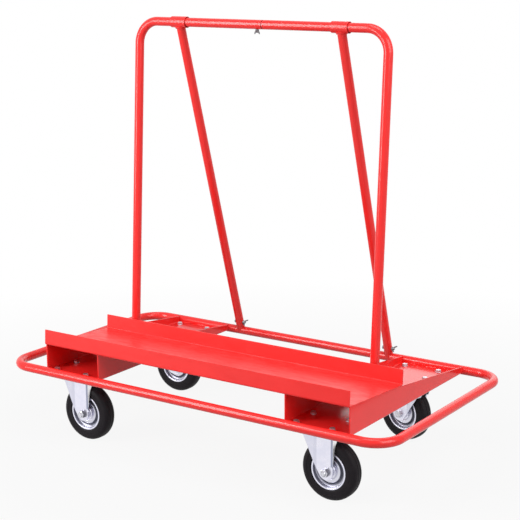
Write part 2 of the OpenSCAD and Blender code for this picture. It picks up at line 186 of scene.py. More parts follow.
class CartColours(PropertyGroup):
    """Colours of the cart's finishes."""

    paint: FloatVectorProperty(
        name="Paint", description="Red powder coat", default=(0.85, 0.025, 0.023),
        subtype="COLOR", min=0, max=1)
    paint_thin: FloatVectorProperty(
        name="Thin paint", description="Powder coat where it thins over an edge",
        default=(0.52, 0.009, 0.010), subtype="COLOR", min=0, max=1)
    # Painted shade: near-black laid into the top bar's seam and the collars' mouths, where shade falls in the
    # gap.
    gap_shade: FloatVectorProperty(
        name="Paint in gaps", description="Thin dark coat inside seams and round the collars' bores",
        default=(0.075, 0.003, 0.004), subtype="COLOR", min=0, max=1)
    zinc: FloatVectorProperty(
        name="Zinc", description="Bright zinc plate", default=(0.84, 0.83, 0.93),
        subtype="COLOR", min=0, max=1)
    zinc_dull: FloatVectorProperty(
        name="Dull zinc", description="Cloudy patches of the zinc plate",
        default=(0.73, 0.73, 0.85), subtype="COLOR", min=0, max=1)
    # Painted shade: darker zinc laid on the forks' tail crease and, in part, on their leading facets.
    zinc_crease_shade: FloatVectorProperty(
        name="Bent zinc", description="Zinc plate stretched over a tight fold",
        default=(0.34, 0.36, 0.47), subtype="COLOR", min=0, max=1)
    # Painted highlight: paler zinc laid on the forks' tail flanges.
    zinc_flange_highlight: FloatVectorProperty(
        name="Bright zinc", description="Zinc plate on a clean drawn face",
        default=(0.95, 0.95, 0.97), subtype="COLOR", min=0, max=1)
    bolt: FloatVectorProperty(
        name="Bolt", description="Zinc plated fasteners", default=(0.62, 0.62, 0.67),
        subtype="COLOR", min=0, max=1)
    dark_steel: FloatVectorProperty(
        name="Dark steel", description="Wing nuts and their bolts", default=(0.24, 0.235, 0.25),
        subtype="COLOR", min=0, max=1)
    # Painted shade: near-black laid into the rims' groove.
    rim_groove_shade: FloatVectorProperty(
        name="Rim groove", description="Grime in the groove of the rims",
        default=(0.016, 0.019, 0.032), subtype="COLOR", min=0, max=1)
    rubber: FloatVectorProperty(
        name="Rubber", description="Solid rubber tyres", default=(0.0075, 0.0055, 0.0075),
        subtype="COLOR", min=0, max=1)
    dust: FloatVectorProperty(
        name="Dust", description="Dust on the tyres", default=(0.045, 0.038, 0.042),
        subtype="COLOR", min=0, max=1)
    floor: FloatVectorProperty(
        name="Floor", description="Pale studio floor", default=(0.34, 0.34, 0.34),
        subtype="COLOR", min=0, max=1)


class CartStage(PropertyGroup):
    """Camera and lights of the studio."""

    camera_place: FloatVectorProperty(
        name="Camera place", description="Where the camera stands",
        default=(2.0969, -3.0158, 1.3583), subtype="TRANSLATION", unit="LENGTH")
    camera_yaw: FloatProperty(
        name="Yaw", description="Camera's turn away from the cart's Y axis",
        default=math.radians(34.40), subtype="ANGLE", unit="ROTATION")
    camera_pitch: FloatProperty(
        name="Pitch", description="Camera's tilt below the horizon",
        default=math.radians(12.896), subtype="ANGLE", unit="ROTATION")
    camera_roll: FloatProperty(
        name="Roll", description="Camera's turn about its own line of sight",
        default=math.radians(-0.344), subtype="ANGLE", unit="ROTATION")
    lens: FloatProperty(
        name="Lens", description="Focal length on a 36 mm sensor", default=95.4)
    ambient: FloatProperty(
        name="Ambient", description="Strength of the soft light all round", default=0.09)
    front_light: FloatProperty(
        name="Front light", description="Power of the tall softbox that draws the pale lines on the tubes",
        default=105, subtype="POWER", unit="POWER")
    right_light: FloatProperty(
        name="Right light", description="Power of the softbox on the right", default=102,
        subtype="POWER", unit="POWER")
    top_light: FloatProperty(
        name="Top light", description="Power of the softbox over the cart", default=30,
        subtype="POWER", unit="POWER")
    back_light: FloatProperty(
        name="Back light", description="Power of the softbox behind the cart", default=24,
        subtype="POWER", unit="POWER")
    backdrop: FloatProperty(
        name="Backdrop", description="Brightness of the floor that the camera sees", default=1.0)
    shadow_hold: FloatProperty(
        name="Shadow hold", description="Share of the floor's own shading that the camera sees",
        default=0.09, min=0, max=1)


# Shader maths as Python expressions


class Wire:
    """A shader socket that takes part in arithmetic."""

    def __init__(self, finish, socket):
        self.finish = finish
        self.socket = socket

    def math(self, operation, first, second):
        return self.finish.node("ShaderNodeMath", {"operation": operation}, {0: first, 1: second}, 0)

    def __add__(self, other):
        return self.math("ADD", self, other)

    __radd__ = __add__

    def __sub__(self, other):
        return self.math("SUBTRACT", self, other)

    def __rsub__(self, other):
        return self.math("SUBTRACT", other, self)

    def __mul__(self, other):
        return self.math("MULTIPLY", self, other)

    __rmul__ = __mul__


class Finish:
    """A node tree under construction."""

    def __init__(self, owner):
        owner.use_nodes = True
        self.owner = owner
        self.tree = owner.node_tree
        self.tree.nodes.clear()

    def node(self, kind, settings, inputs, output=None):
        """Adds a node, sets it up, feeds its sockets and gives the output that is named, if one is."""
        made = self.tree.nodes.new(kind)
        for key, value in settings.items():
            setattr(made, key, value)
        for key, value in inputs.items():
            self.feed(made.inputs[key], value)
        return None if output is None else Wire(self, made.outputs[output])

    def feed(self, socket, value):
        if isinstance(value, Wire):
            self.tree.links.new(value.socket, socket)
        else:
            socket.default_value = value

    def object_place(self):
        return self.node("ShaderNodeTexCoord", {}, {}, "Object")

    def stretched(self, vector, scale):
        return self.node("ShaderNodeMapping", {}, {"Vector": vector, "Scale": scale}, "Vector")

    def noise(self, vector, scale, detail=2.0, roughness=0.5):
        inputs = {"Vector": vector, "Scale": scale, "Detail": detail, "Roughness": roughness}
        return self.node("ShaderNodeTexNoise", {}, inputs, "Fac")

    def rings(self, radius, scale, detail=2.0):
        """Noise that changes along a radius only, as a lathe leaves it."""
        inputs = {"W": radius, "Scale": scale, "Detail": detail}
        return self.node("ShaderNodeTexNoise", {"noise_dimensions": "1D"}, inputs, "Fac")

    def attribute(self, name):
        return self.node("ShaderNodeAttribute", {"attribute_name": name}, {}, "Fac")

    def span(self, value, low, high):
        """Maps low to high onto nought to one, with the ends held."""
        inputs = {"Value": value, "From Min": low, "From Max": high}
        return self.node("ShaderNodeMapRange", {"clamp": True}, inputs, "Result")

    def mix(self, share, first, second):
        inputs = {0: share, 6: first, 7: second}
        return self.node("ShaderNodeMix", {"data_type": "RGBA"}, inputs, 2)

    def bump(self, height, strength, distance):
        inputs = {"Height": height, "Strength": strength, "Distance": distance}
        return self.node("ShaderNodeBump", {}, inputs, "Normal")

    def coated(self, inputs):
        """Ends the tree with one principled shader."""
        shader = self.node("ShaderNodeBsdfPrincipled", {}, inputs, "BSDF")
        self.node("ShaderNodeOutputMaterial", {}, {"Surface": shader})
        return self.owner


def solid(colour):
    """A colour property as a socket's four numbers."""
    return (*colour, 1.0)


def red_paint(colours):
    """Gloss red powder coat: slight drift in tone, orange peel, thin over cut edges, painted shade in gaps.
    """
    finish = Finish(bpy.data.materials.new("red_powder_coat"))
    place = finish.object_place()
    drift = finish.span(finish.noise(place, 6.0, 3.0), 0.3, 0.7)
    peel = finish.noise(place, 420.0, 2.0)
    grain = finish.noise(place, 2400.0, 1.0)
    cloud = finish.noise(place, 38.0, 3.0)
    patch = finish.span(finish.noise(place, 90.0, 3.0), 0.42, 0.62)
    rolled = finish.noise(finish.stretched(place, (0.05, 1.0, 1.0)), 90.0, 2.0)
    thin = finish.attribute(WEAR) * patch * 0.7
    deep = [0.90 * part for part in colours.paint]
    colour = finish.mix(drift * 0.6 + rolled * 0.4, solid(deep), solid(colours.paint))
    colour = finish.mix(thin, colour, solid(colours.paint_thin))
    # Faces marked above nought (the seam, the collar mouths) get painted shade; faces marked below nought
    # (the tray) get scuffed roughness.
    light_and_scuff_mark = finish.attribute(TONE)
    gap = finish.span(light_and_scuff_mark, 0.0, 1.0)
    colour = finish.mix(gap * 0.9, colour, solid(colours.gap_shade))
    slide = finish.noise(finish.stretched(place, (0.25, 1.0, 1.0)), 60.0, 4.0, 0.6)
    scuff = finish.span(light_and_scuff_mark, 0.0, -1.0) * (0.12 + finish.span(slide, 0.4, 0.65) * 0.16)
    height = peel * 0.8 + grain * 0.2
    return finish.coated({
        "Base Color": colour,
        "Roughness": 0.14 + cloud * 0.05 + rolled * 0.05 + thin * 0.2 + scuff,
        "Normal": finish.bump(height, 0.02, 0.0004),
        "IOR": 1.5,
        "Specular IOR Level": 0.32,
    })


def zinc_plate(colours):
    """Bright zinc on pressed sheet: cloudy, with faint drawn streaks; painted shade on creases, painted
    highlight on flanges.
    """
    finish = Finish(bpy.data.materials.new("bright_zinc"))
    place = finish.object_place()
    cloud = finish.span(finish.noise(place, 45.0, 4.0, 0.6), 0.35, 0.7)
    spangle = finish.noise(place, 320.0, 2.0)
    streak = finish.noise(finish.stretched(place, (1.0, 1.0, 0.06)), 700.0, 2.0)
    edge = finish.attribute(WEAR)
    light_and_scuff_mark = finish.attribute(TONE)
    colour = finish.mix(cloud, solid(colours.zinc), solid(colours.zinc_dull))
    # Painted shade where marked above nought, painted highlight where marked below nought.
    colour = finish.mix(finish.span(light_and_scuff_mark, 0.0, 1.0), colour, solid(colours.zinc_crease_shade))
    colour = finish.mix(finish.span(light_and_scuff_mark, 0.0, -1.0), colour, solid(colours.zinc_flange_highlight))
    return finish.coated({
        "Base Color": colour,
        "Metallic": 1.0,
        "Roughness": 0.24 + cloud * 0.07 + spangle * 0.06 - edge * 0.06,
        "Normal": finish.bump(streak * 0.5 + spangle * 0.5, 0.08, 0.0003),
    })


def rim_steel(colours):
    """Zinc plated spun steel, with fine turning rings and painted shade in the groove."""
    finish = Finish(bpy.data.materials.new("spun_zinc"))
    place = finish.object_place()
    radius = finish.attribute(RADIUS)
    fine = finish.rings(radius, 2600.0)
    broad = finish.rings(radius, 420.0)
    cloud = finish.span(finish.noise(place, 60.0, 3.0), 0.35, 0.7)
    colour = finish.mix(cloud, solid(colours.zinc), solid(colours.zinc_dull))
    dish_edge = (31.0 * MM, 32.2 * MM)
    groove_start = (31.2 * MM, 32.5 * MM)
    groove_fade = (37.5 * MM, 41.5 * MM)
    groove_end = (44.0 * MM, 45.2 * MM)
    # Painted shade in the groove, halved towards its outer wall.
    dish = 1 - finish.span(radius, *dish_edge)
    colour = finish.mix(dish * 0.45, colour, solid(colours.bolt))
    groove = finish.span(radius, *groove_start) * (1 - finish.span(radius, *groove_end))
    groove = groove * (1 - finish.span(radius, *groove_fade) * 0.5)
    colour = finish.mix(groove * 0.92, colour, solid(colours.rim_groove_shade))
    return finish.coated({
        "Base Color": colour,
        "Metallic": 1.0,
        "Roughness": 0.20 + fine * 0.12 + cloud * 0.06 + groove * 0.25,
        "Normal": finish.bump(fine * 0.6 + broad * 0.4, 0.10, 0.0003),
    })


def fastener_steel(name, colour, dull):
    """Plated fastener steel: patches at a dull share of its colour, painted shade on marked faces, smooth
    edges.
    """
    finish = Finish(bpy.data.materials.new(name))
    place = finish.object_place()
    patch = finish.span(finish.noise(place, 240.0, 3.0), 0.4, 0.68)
    grain = finish.noise(place, 1900.0, 2.0)
    edge = finish.attribute(WEAR)
    tone = finish.mix(patch, solid(colour), solid([dull * part for part in colour]))
    # Painted shade: marked faces darken towards 0.16 of the colour.
    side_shade = [0.16 * part for part in colour]
    tone = finish.mix(finish.span(finish.attribute(TONE), 0.0, 1.0), tone, solid(side_shade))
    return finish.coated({
        "Base Color": tone,
        "Metallic": 1.0,
        "Roughness": 0.34 + grain * 0.14 + patch * 0.08 - edge * 0.05,
        "Normal": finish.bump(grain, 0.06, 0.0002),
    })


def tyre_rubber(colours):
    """Solid black rubber with moulding rings, fine grain and a little dust on the tread."""
    finish = Finish(bpy.data.materials.new("black_rubber"))
    place = finish.object_place()
    radius = finish.attribute(RADIUS)
    rings = finish.rings(radius, 900.0)
    grain = finish.noise(place, 1300.0, 2.0)
    smear = finish.span(finish.noise(place, 55.0, 4.0), 0.45, 0.75)
    tread_start, tread_full = 76.5 * MM, 79.5 * MM
    tread = finish.span(radius, tread_start, tread_full)
    dust = smear * (0.10 + tread * 0.20)
    colour = finish.mix(dust, solid(colours.rubber), solid(colours.dust))
    return finish.coated({
        "Base Color": colour,
        "Roughness": 0.44 + grain * 0.16 + dust * 0.3,
        "Normal": finish.bump(rings * 0.45 + grain * 0.55, 0.22, 0.0004),
        "Specular IOR Level": 0.14,
    })


def finishes():
    """The materials by slot, made once."""
    colours = bpy.context.scene.cart_colours
    if "red_powder_coat" not in bpy.data.materials:
        red_paint(colours)
        zinc_plate(colours)
        rim_steel(colours)
        fastener_steel("bolt_zinc", colours.bolt, 0.78)
        fastener_steel("dull_dark_steel", colours.dark_steel, 0.5)
        tyre_rubber(colours)
    names = {
        "red_paint": "red_powder_coat", "zinc_plate": "bright_zinc", "zinc_bolt": "bolt_zinc",
        "dark_fastener": "dull_dark_steel", "rim_steel": "spun_zinc", "tyre_rubber": "black_rubber",
    }
    return {slot: bpy.data.materials[name] for slot, name in names.items()}


# Shapes


def new_shape():
    """An empty shape with the layers that the finishes read."""
    shape = bmesh.new()
    shape.faces.layers.float.new(WEAR)
    shape.faces.layers.float.new(TONE)
    shape.verts.layers.float.new(RADIUS)
    return shape


def tidy(shape):
    """Merges doubles and turns the faces of a closed shape outwards."""
    bmesh.ops.remove_doubles(shape, verts=shape.verts[:], dist=MERGE)
    bmesh.ops.recalc_face_normals(shape, faces=shape.faces[:])
    return shape


def soften(shape, width, segments=2, limit=math.radians(40)):
    """Rounds every sharp edge, and marks the rounding for the finish."""
    shape.normal_update()
    sharp = []
    for edge in shape.edges:
        if len(edge.link_faces) == 2 and edge.calc_face_angle() > limit:
            sharp.append(edge)
    made = bmesh.ops.bevel(
        shape, geom=sharp, offset=width, offset_type="OFFSET", segments=segments, profile=0.5,
        affect="EDGES", material=-1, clamp_overlap=True)
    layer = shape.faces.layers.float[WEAR]
    for face in made["faces"]:
        face[layer] = 1.0
    return shape


def ring(shape, radius, place, sides):
    """A loop of edges round the Z axis of place."""
    made = bmesh.ops.create_circle(shape, cap_ends=False, segments=sides, radius=radius, matrix=place)
    return loop_of(made["verts"])


def everything(shape):
    """All the vertices, edges and faces of a shape."""
    return shape.verts[:] + shape.edges[:] + shape.faces[:]


def mark(shape, tone, test):
    """Marks the faces that pass a test with a tone for the finish."""
    layer = shape.faces.layers.float[TONE]
    for face in shape.faces:
        if test(face):
            face[layer] = tone


def loop_of(verts):
    """The edges whose two ends are both among verts."""
    chosen = set(verts)
    edges = {edge for vert in verts for edge in vert.link_edges}
    return [edge for edge in edges if edge.verts[0] in chosen and edge.verts[1] in chosen]


def ends_of(edges):
    return list({vert for edge in edges for vert in edge.verts})


def pull(shape, edges, offset):
    """Extrudes a loop by an offset and gives the new loop."""
    made = bmesh.ops.extrude_edge_only(shape, edges=edges)
    verts = [part for part in made["geom"] if isinstance(part, bmesh.types.BMVert)]
    bmesh.ops.translate(shape, verts=verts, vec=offset)
    return loop_of(verts)


def bend(shape, edges, centre, axis, angle, steps):
    """Sweeps a loop round a bend and gives the new loop."""
    made = bmesh.ops.spin(
        shape, geom=edges + ends_of(edges), cent=centre, axis=axis, dvec=(0, 0, 0), angle=angle,
        steps=steps, use_merge=False, use_normal_flip=False, use_duplicate=False)
    return [part for part in made["geom_last"] if isinstance(part, bmesh.types.BMEdge)]


def walled(shape, wall):
    """Gives an open tube its wall."""
    tidy(shape)
    bmesh.ops.solidify(shape, geom=shape.faces[:], thickness=wall)
    return shape


def round_corners(shape, corners, radii, segments=5):
    """Rounds the corners of an outline, each to its radius."""
    for corner, radius in zip(corners, radii):
        if radius > 0:
            arms = [edge.other_vert(corner).co - corner.co for edge in corner.link_edges]
            reach = radius / math.tan(arms[0].angle(arms[1]) / 2)
            bmesh.ops.bevel(
                shape, geom=[corner], offset=reach, offset_type="OFFSET", segments=segments,
                profile=0.5, affect="VERTICES", material=-1, clamp_overlap=True)


def outlined(points, radii, segments=5):
    """A flat shape of one face, from points in 3D with a radius each."""
    shape = new_shape()
    corners = [shape.verts.new(point) for point in points]
    shape.faces.new(corners)
    round_corners(shape, corners, radii, segments)
    return shape


def raised(shape, offset):
    """Extrudes a flat shape into a closed one."""
    made = bmesh.ops.extrude_face_region(shape, geom=shape.faces[:], use_keep_orig=True)
    verts = [part for part in made["geom"] if isinstance(part, bmesh.types.BMVert)]
    bmesh.ops.translate(shape, verts=verts, vec=offset)
    return tidy(shape)


def turned(profile, radii, steps=64, segments=5):
    """A closed profile of (radius, height), its corners rounded, turned about Z."""
    shape = outlined([(radius, 0, height) for radius, height in profile], radii, segments)
    bmesh.ops.delete(shape, geom=shape.faces[:], context="FACES_ONLY")
    on_axis = [edge for edge in shape.edges if all(abs(vert.co.x) < 1e-9 for vert in edge.verts)]
    bmesh.ops.delete(shape, geom=on_axis, context="EDGES")
    bmesh.ops.spin(
        shape, geom=shape.verts[:] + shape.edges[:], cent=(0, 0, 0), axis=(0, 0, 1), dvec=(0, 0, 0),
        angle=2 * math.pi, steps=steps, use_merge=True, use_normal_flip=False, use_duplicate=False)
    tidy(shape)
    layer = shape.verts.layers.float[RADIUS]
    for vert in shape.verts:
        vert[layer] = math.hypot(vert.co.x, vert.co.y)
    return shape


def hexagon(flats, height, bore=0.0, both=False, sides=36, side_shade=0.0):
    """A bolt head or a nut with its chamfers, seat at zero, axis Z, its flats marked for painted shade."""
    shape = new_shape()
    inner = flats / 2
    crown = 0.95 * inner
    slope = math.tan(math.radians(30))

    def to_hexagon(verts, top, sign):
        for vert in verts:
            angle = math.atan2(vert.co.y, vert.co.x)
            fold = angle % math.radians(60) - math.radians(30)
            reach = inner / math.cos(fold)
            drop = (reach - crown) * slope if sign else 0.0
            vert.co = (reach * math.cos(angle), reach * math.sin(angle), top - sign * drop)

    def to_circle(verts, radius, top):
        for vert in verts:
            angle = math.atan2(vert.co.y, vert.co.x)
            vert.co = (radius * math.cos(angle), radius * math.sin(angle), top)

    first = ring(shape, inner, Matrix.Identity(4), sides)
    if both:
        to_circle(ends_of(first), crown, 0.0)
        lower = pull(shape, first, (0, 0, 0))
        to_hexagon(ends_of(lower), 0.0, -1)
    else:
        lower = first
        to_hexagon(ends_of(lower), 0.0, 0)
    upper = pull(shape, lower, (0, 0, height))
    to_hexagon(ends_of(upper), height, 1)
    last = pull(shape, upper, (0, 0, 0))
    to_circle(ends_of(last), crown, height)
    if bore > 0:
        mouth = pull(shape, last, (0, 0, 0))
        to_circle(ends_of(mouth), bore * 1.12, height)
        throat = pull(shape, mouth, (0, 0, 0))
        to_circle(ends_of(throat), bore, height - bore * 0.12)
        foot = pull(shape, throat, (0, 0, 0))
        to_circle(ends_of(foot), bore, 0.0)
        bmesh.ops.bridge_loops(shape, edges=foot + first)
    else:
        bmesh.ops.edgeloop_fill(shape, edges=first)
        bmesh.ops.edgeloop_fill(shape, edges=last)
    tidy(shape)
    # Side flats carry painted shade at the given share.
    mark(shape, side_shade, lambda face: abs(face.normal.z) < 0.2)
    return shape


def thread(radius, length, plain, pitch, steps=32):
    """A bolt shank from zero down to -length, plain at first and then threaded."""
    deep = 0.6 * pitch
    profile = [(0.0, 0.0), (radius, 0.0), (radius, -plain)]
    height = -plain
    while height - pitch > -length + pitch:
        profile.append((radius - deep, height - 0.5 * pitch))
        profile.append((radius, height - pitch))
        height -= pitch
    profile.append((radius, -length + 0.8 * pitch))
    profile.append((radius - deep, -length))
    profile.append((0.0, -length))
    return turned(profile, [0.0] * len(profile), steps)


def bead(points, radius, closed=False):
    """A rippled weld bead along a line of points."""
    line = bpy.data.curves.new("bead", "CURVE")
    line.dimensions = "3D"
    line.bevel_depth = radius
    line.bevel_resolution = 2
    line.use_fill_caps = not closed
    spline = line.splines.new("POLY")
    spline.points.add(len(points) - 1)
    spline.use_cyclic_u = closed
    ripple = (1.0, 0.86, 0.8, 0.9)
    for index, (spot, point) in enumerate(zip(spline.points, points)):
        spot.co = (*point, 1.0)
        spot.radius = ripple[index % len(ripple)]
    holder = bpy.data.objects.new("bead", line)
    bpy.context.scene.collection.objects.link(holder)
    bpy.context.view_layer.update()
    mesh = bpy.data.meshes.new_from_object(holder.evaluated_get(bpy.context.evaluated_depsgraph_get()))
    bpy.data.objects.remove(holder)
    bpy.data.curves.remove(line)
    shape = new_shape()
    shape.from_mesh(mesh)
    bpy.data.meshes.remove(mesh)
    return tidy(shape)


def along(start, end, step=1.3 * MM):
    """Points from start to end, a ripple apart."""
    start = Vector(start)
    end = Vector(end)
    count = max(4, round((end - start).length / step))
    return [start.lerp(end, index / count) for index in range(count + 1)]


class Piece:
    """A mesh gathered from shapes, which becomes an object that rides on a body."""

    def __init__(self):
        self.mesh = new_shape()

    def add(self, shape, place=None):
        """Takes in a shape at a place and frees it."""
        if place is not None:
            bmesh.ops.transform(shape, matrix=place, verts=shape.verts[:])
            if place.determinant() < 0:
                bmesh.ops.reverse_faces(shape, faces=shape.faces[:])
        held = bpy.data.meshes.new("held")
        shape.to_mesh(held)
        shape.free()
        self.mesh.from_mesh(held)
        bpy.data.meshes.remove(held)
        return self

    def settle(self, name, body, slot, *nodes):
        """Makes the object, shades it and hands it to the frame."""
        self.mesh.normal_update()
        for face in self.mesh.faces:
            face.smooth = True
        for edge in self.mesh.edges:
            edge.smooth = len(edge.link_faces) == 2 and edge.calc_face_angle() < SMOOTH_LIMIT
        data = bpy.data.meshes.new(name)
        self.mesh.to_mesh(data)
        self.mesh.free()
        made = bpy.data.objects.new(name, data)
        bpy.context.scene.collection.objects.link(made)
        data.materials.append(finishes()[slot])
        even = made.modifiers.new("even_shading", "WEIGHTED_NORMAL")
        even.keep_sharp = True
        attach(made, body)
        if nodes:
            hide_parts(*nodes)
        return made


def keep_node(name, slot):
    """Gives a solid that stays in view its finish."""
    data = frame["nodes"][name].data
    data.materials.clear()
    data.materials.append(finishes()[slot])


# Frames of the leaning pieces and of the casters


def lean_place(sizes):
    """Origin at the loop height between the posts, Z along the posts."""
    room = sizes.tray_depth + TUBE_R + sizes.post_gap - sizes.tray_rise * math.sin(sizes.lean)
    post_y = room / math.cos(sizes.lean) - sizes.tray_front
    return Matrix.Translation((0, post_y, RAIL_Z)) @ Matrix.Rotation(-sizes.lean, 4, "X")


def tray_place(sizes):
    """Origin at the tray's front fold, Y down its floor."""
    place = Matrix.Translation((0, -sizes.tray_front, RAIL_Z + sizes.tray_rise))
    return place @ Matrix.Rotation(-sizes.lean, 4, "X")


def brace_line(sizes, side):
    """Frame of a brace, origin on the rear rail and Z along the brace, and the brace's length."""
    top = lean_place(sizes) @ Vector((0, 0, sizes.frame_rise))
    brace_x = side * (COLLAR_LOW.x + COLLAR_HIGH.x) / 2
    rise = top.z - RAIL_Z
    run = HALF_WIDTH - top.y
    place = Matrix.Translation((brace_x, HALF_WIDTH, RAIL_Z)) @ Matrix.Rotation(math.atan2(run, rise), 4, "X")
    return place, math.hypot(run, rise)


def middle_of(node):
    low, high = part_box(node)
    return (low + high) / 2


def plate_place(name):
    """Frame of a caster's plate: kingpin on Z, square to the cart."""
    pin = middle_of("kingpin_" + name)
    return Matrix.Translation((pin.x, pin.y, 0))


def caster_place(name):
    """Frame of a caster's fork: kingpin on Z, axle off towards +X."""
    trail = middle_of("axle_spacer_" + name) - middle_of("kingpin_" + name)
    return plate_place(name) @ Matrix.Rotation(math.atan2(trail.y, trail.x), 4, "Z")


def axle_place(name):
    """Frame of a wheel: origin in its middle, Z along the axle towards the nut."""
    turn = caster_place(name).to_3x3().to_4x4() @ Matrix.Rotation(math.radians(90), 4, "X")
    return Matrix.Translation(middle_of("axle_spacer_" + name)) @ turn


MIRROR_X = Matrix.Scale(-1, 4, (1, 0, 0))
MIRROR_Y = Matrix.Scale(-1, 4, (0, 1, 0))


class CART_OT_bumper_loop(Operator):
    """Bends the two halves of the bumper loop"""

    bl_idname = "cart.bumper_loop"
    bl_label = "Bumper loop"

    def execute(self, context):
        sizes = context.scene.cart_sizes
        radius = sizes.corner_radius
        straight = HALF_LENGTH - radius
        for name, side in SIDES.items():
            shape = new_shape()
            place = Matrix.Translation((0, -HALF_WIDTH, RAIL_Z)) @ Matrix.Rotation(math.radians(90), 4, "Y")
            loop = ring(shape, TUBE_R, place, sizes.tube_sides)
            loop = pull(shape, loop, (straight, 0, 0))
            loop = bend(shape, loop, (straight, radius - HALF_WIDTH, RAIL_Z), (0, 0, 1), math.pi / 2, 24)
            loop = pull(shape, loop, (0, 2 * (HALF_WIDTH - radius), 0))
            loop = bend(shape, loop, (straight, HALF_WIDTH - radius, RAIL_Z), (0, 0, 1), math.pi / 2, 24)
            pull(shape, loop, (-straight, 0, 0))
            walled(shape, sizes.tube_wall)
            piece = Piece().add(shape, MIRROR_X if side < 0 else None)
            piece.settle("bumper_tube_" + name, "frame", "red_paint", "bumper_rail_" + name)
        return {"FINISHED"}


class CART_OT_channels(Operator):
    """Folds the two cross channels and copes them onto the rails"""

    bl_idname = "cart.channels"
    bl_label = "Cross channels"

    def execute(self, context):
        sizes = context.scene.cart_sizes
        sheet = sizes.sheet
        radius = sizes.fold_radius
        low = CHANNEL_LOW.x
        high = CHANNEL_HIGH.x
        floor = CHANNEL_LOW.z
        top = RAIL_Z + sizes.tray_rise
        tray_front = -sizes.tray_front
        wall_y = tray_front + sheet + 2 * MM
        back_y = tray_front + sizes.tray_depth * math.cos(sizes.lean)
        stub = floor + sheet + 4 * MM
        end_y = HALF_WIDTH - 8 * MM
        points = [
            (low, wall_y, floor), (high, wall_y, floor), (high, wall_y, top),
            (high - sheet, wall_y, top), (high - sheet, wall_y, floor + sheet),
            (low + sheet, wall_y, floor + sheet), (low + sheet, wall_y, top), (low, wall_y, top)]
        inner = radius - sheet
        radii = [radius, radius, 0, 0, inner, inner, 0, 0]
        for name, side in SIDES.items():
            shape = raised(outlined(points, radii, 6), (0, end_y - wall_y, 0))
            self.trim(shape, (0, tray_front, top), (0, math.sin(sizes.lean), math.cos(sizes.lean)))
            back_top = top - (back_y - tray_front) * math.tan(sizes.lean)
            fall = back_top - (RAIL_Z + 0.8 * TUBE_R)
            self.trim(shape, (0, back_y, back_top), (0, fall, HALF_WIDTH - back_y))
            self.extend(shape, wall_y, stub, end_y)
            self.cope(shape, end_y)
            tidy(shape)
            soften(shape, sizes.edge_round)
            piece = Piece().add(shape, MIRROR_X if side < 0 else None)
            piece.settle("folded_channel_" + name, "frame", "red_paint", "cross_channel_" + name)
        return {"FINISHED"}

    @staticmethod
    def trim(shape, point, normal):
        """Cuts away what lies beyond a plane and closes the cut."""
        made = bmesh.ops.bisect_plane(
            shape, geom=everything(shape), dist=CUT, plane_co=point, plane_no=normal, clear_outer=True)
        cut = [part for part in made["geom_cut"] if isinstance(part, bmesh.types.BMEdge)]
        bmesh.ops.edgenet_fill(shape, edges=cut)

    @staticmethod
    def extend(shape, wall_y, stub, end_y):
        """Carries the floor forward under the front rail, in front of the walls."""
        bmesh.ops.bisect_plane(
            shape, geom=everything(shape), dist=CUT, plane_co=(0, 0, stub), plane_no=(0, 0, 1))
        front = []
        for face in shape.faces:
            middle = face.calc_center_median()
            if abs(middle.y - wall_y) < TOUCH and all(vert.co.z < stub + MERGE for vert in face.verts):
                if all(abs(vert.co.y - wall_y) < TOUCH for vert in face.verts):
                    front.append(face)
        made = bmesh.ops.extrude_face_region(shape, geom=front)
        verts = [part for part in made["geom"] if isinstance(part, bmesh.types.BMVert)]
        bmesh.ops.delete(shape, geom=front, context="FACES_ONLY")
        bmesh.ops.translate(shape, verts=verts, vec=(0, -end_y - wall_y, 0))

    @staticmethod
    def cope(shape, end_y):
        """Shapes both ends to the round of the rails."""
        for level in (-6.5, -5, -3, -1, 1, 3, 5, 7, 9):
            geom = []
            for face in shape.faces:
                if all(abs(abs(vert.co.y) - end_y) < TOUCH for vert in face.verts):
                    geom.append(face)
            edges = list({edge for face in geom for edge in face.edges})
            geom += edges + ends_of(edges)
            bmesh.ops.bisect_plane(
                shape, geom=geom, dist=CUT, plane_co=(0, 0, RAIL_Z + level * MM), plane_no=(0, 0, 1))
        reach = TUBE_R + 0.02 * MM
        for vert in shape.verts:
            if abs(abs(vert.co.y) - end_y) < TOUCH:
                height = max(-reach, min(reach, vert.co.z - RAIL_Z))
                vert.co.y = math.copysign(HALF_WIDTH - math.sqrt(reach ** 2 - height ** 2), vert.co.y)


class CART_OT_tray(Operator):
    """Folds the tray with its two lips"""

    bl_idname = "cart.tray"
    bl_label = "Tray"

    def execute(self, context):
        sizes = context.scene.cart_sizes
        sheet = sizes.sheet
        radius = sizes.fold_radius
        depth = sizes.tray_depth
        tall = sizes.lip_height
        start = TRAY_LOW.x
        points = [
            (start, 0, 0), (start, depth, 0), (start, depth, tall), (start, depth - sheet, tall),
            (start, depth - sheet, sheet), (start, sheet, sheet), (start, sheet, tall), (start, 0, tall)]
        inner = radius - sheet
        shape = raised(outlined(points, [radius, radius, 0, 0, inner, inner, 0, 0], 8),
                       (TRAY_HIGH.x - TRAY_LOW.x, 0, 0))
        soften(shape, sizes.edge_round)
        mark(shape, -1.0, lambda face: True)
        piece = Piece().add(shape, tray_place(sizes))
        piece.settle("tray_sheet", "frame", "red_paint", "tray")
        return {"FINISHED"}


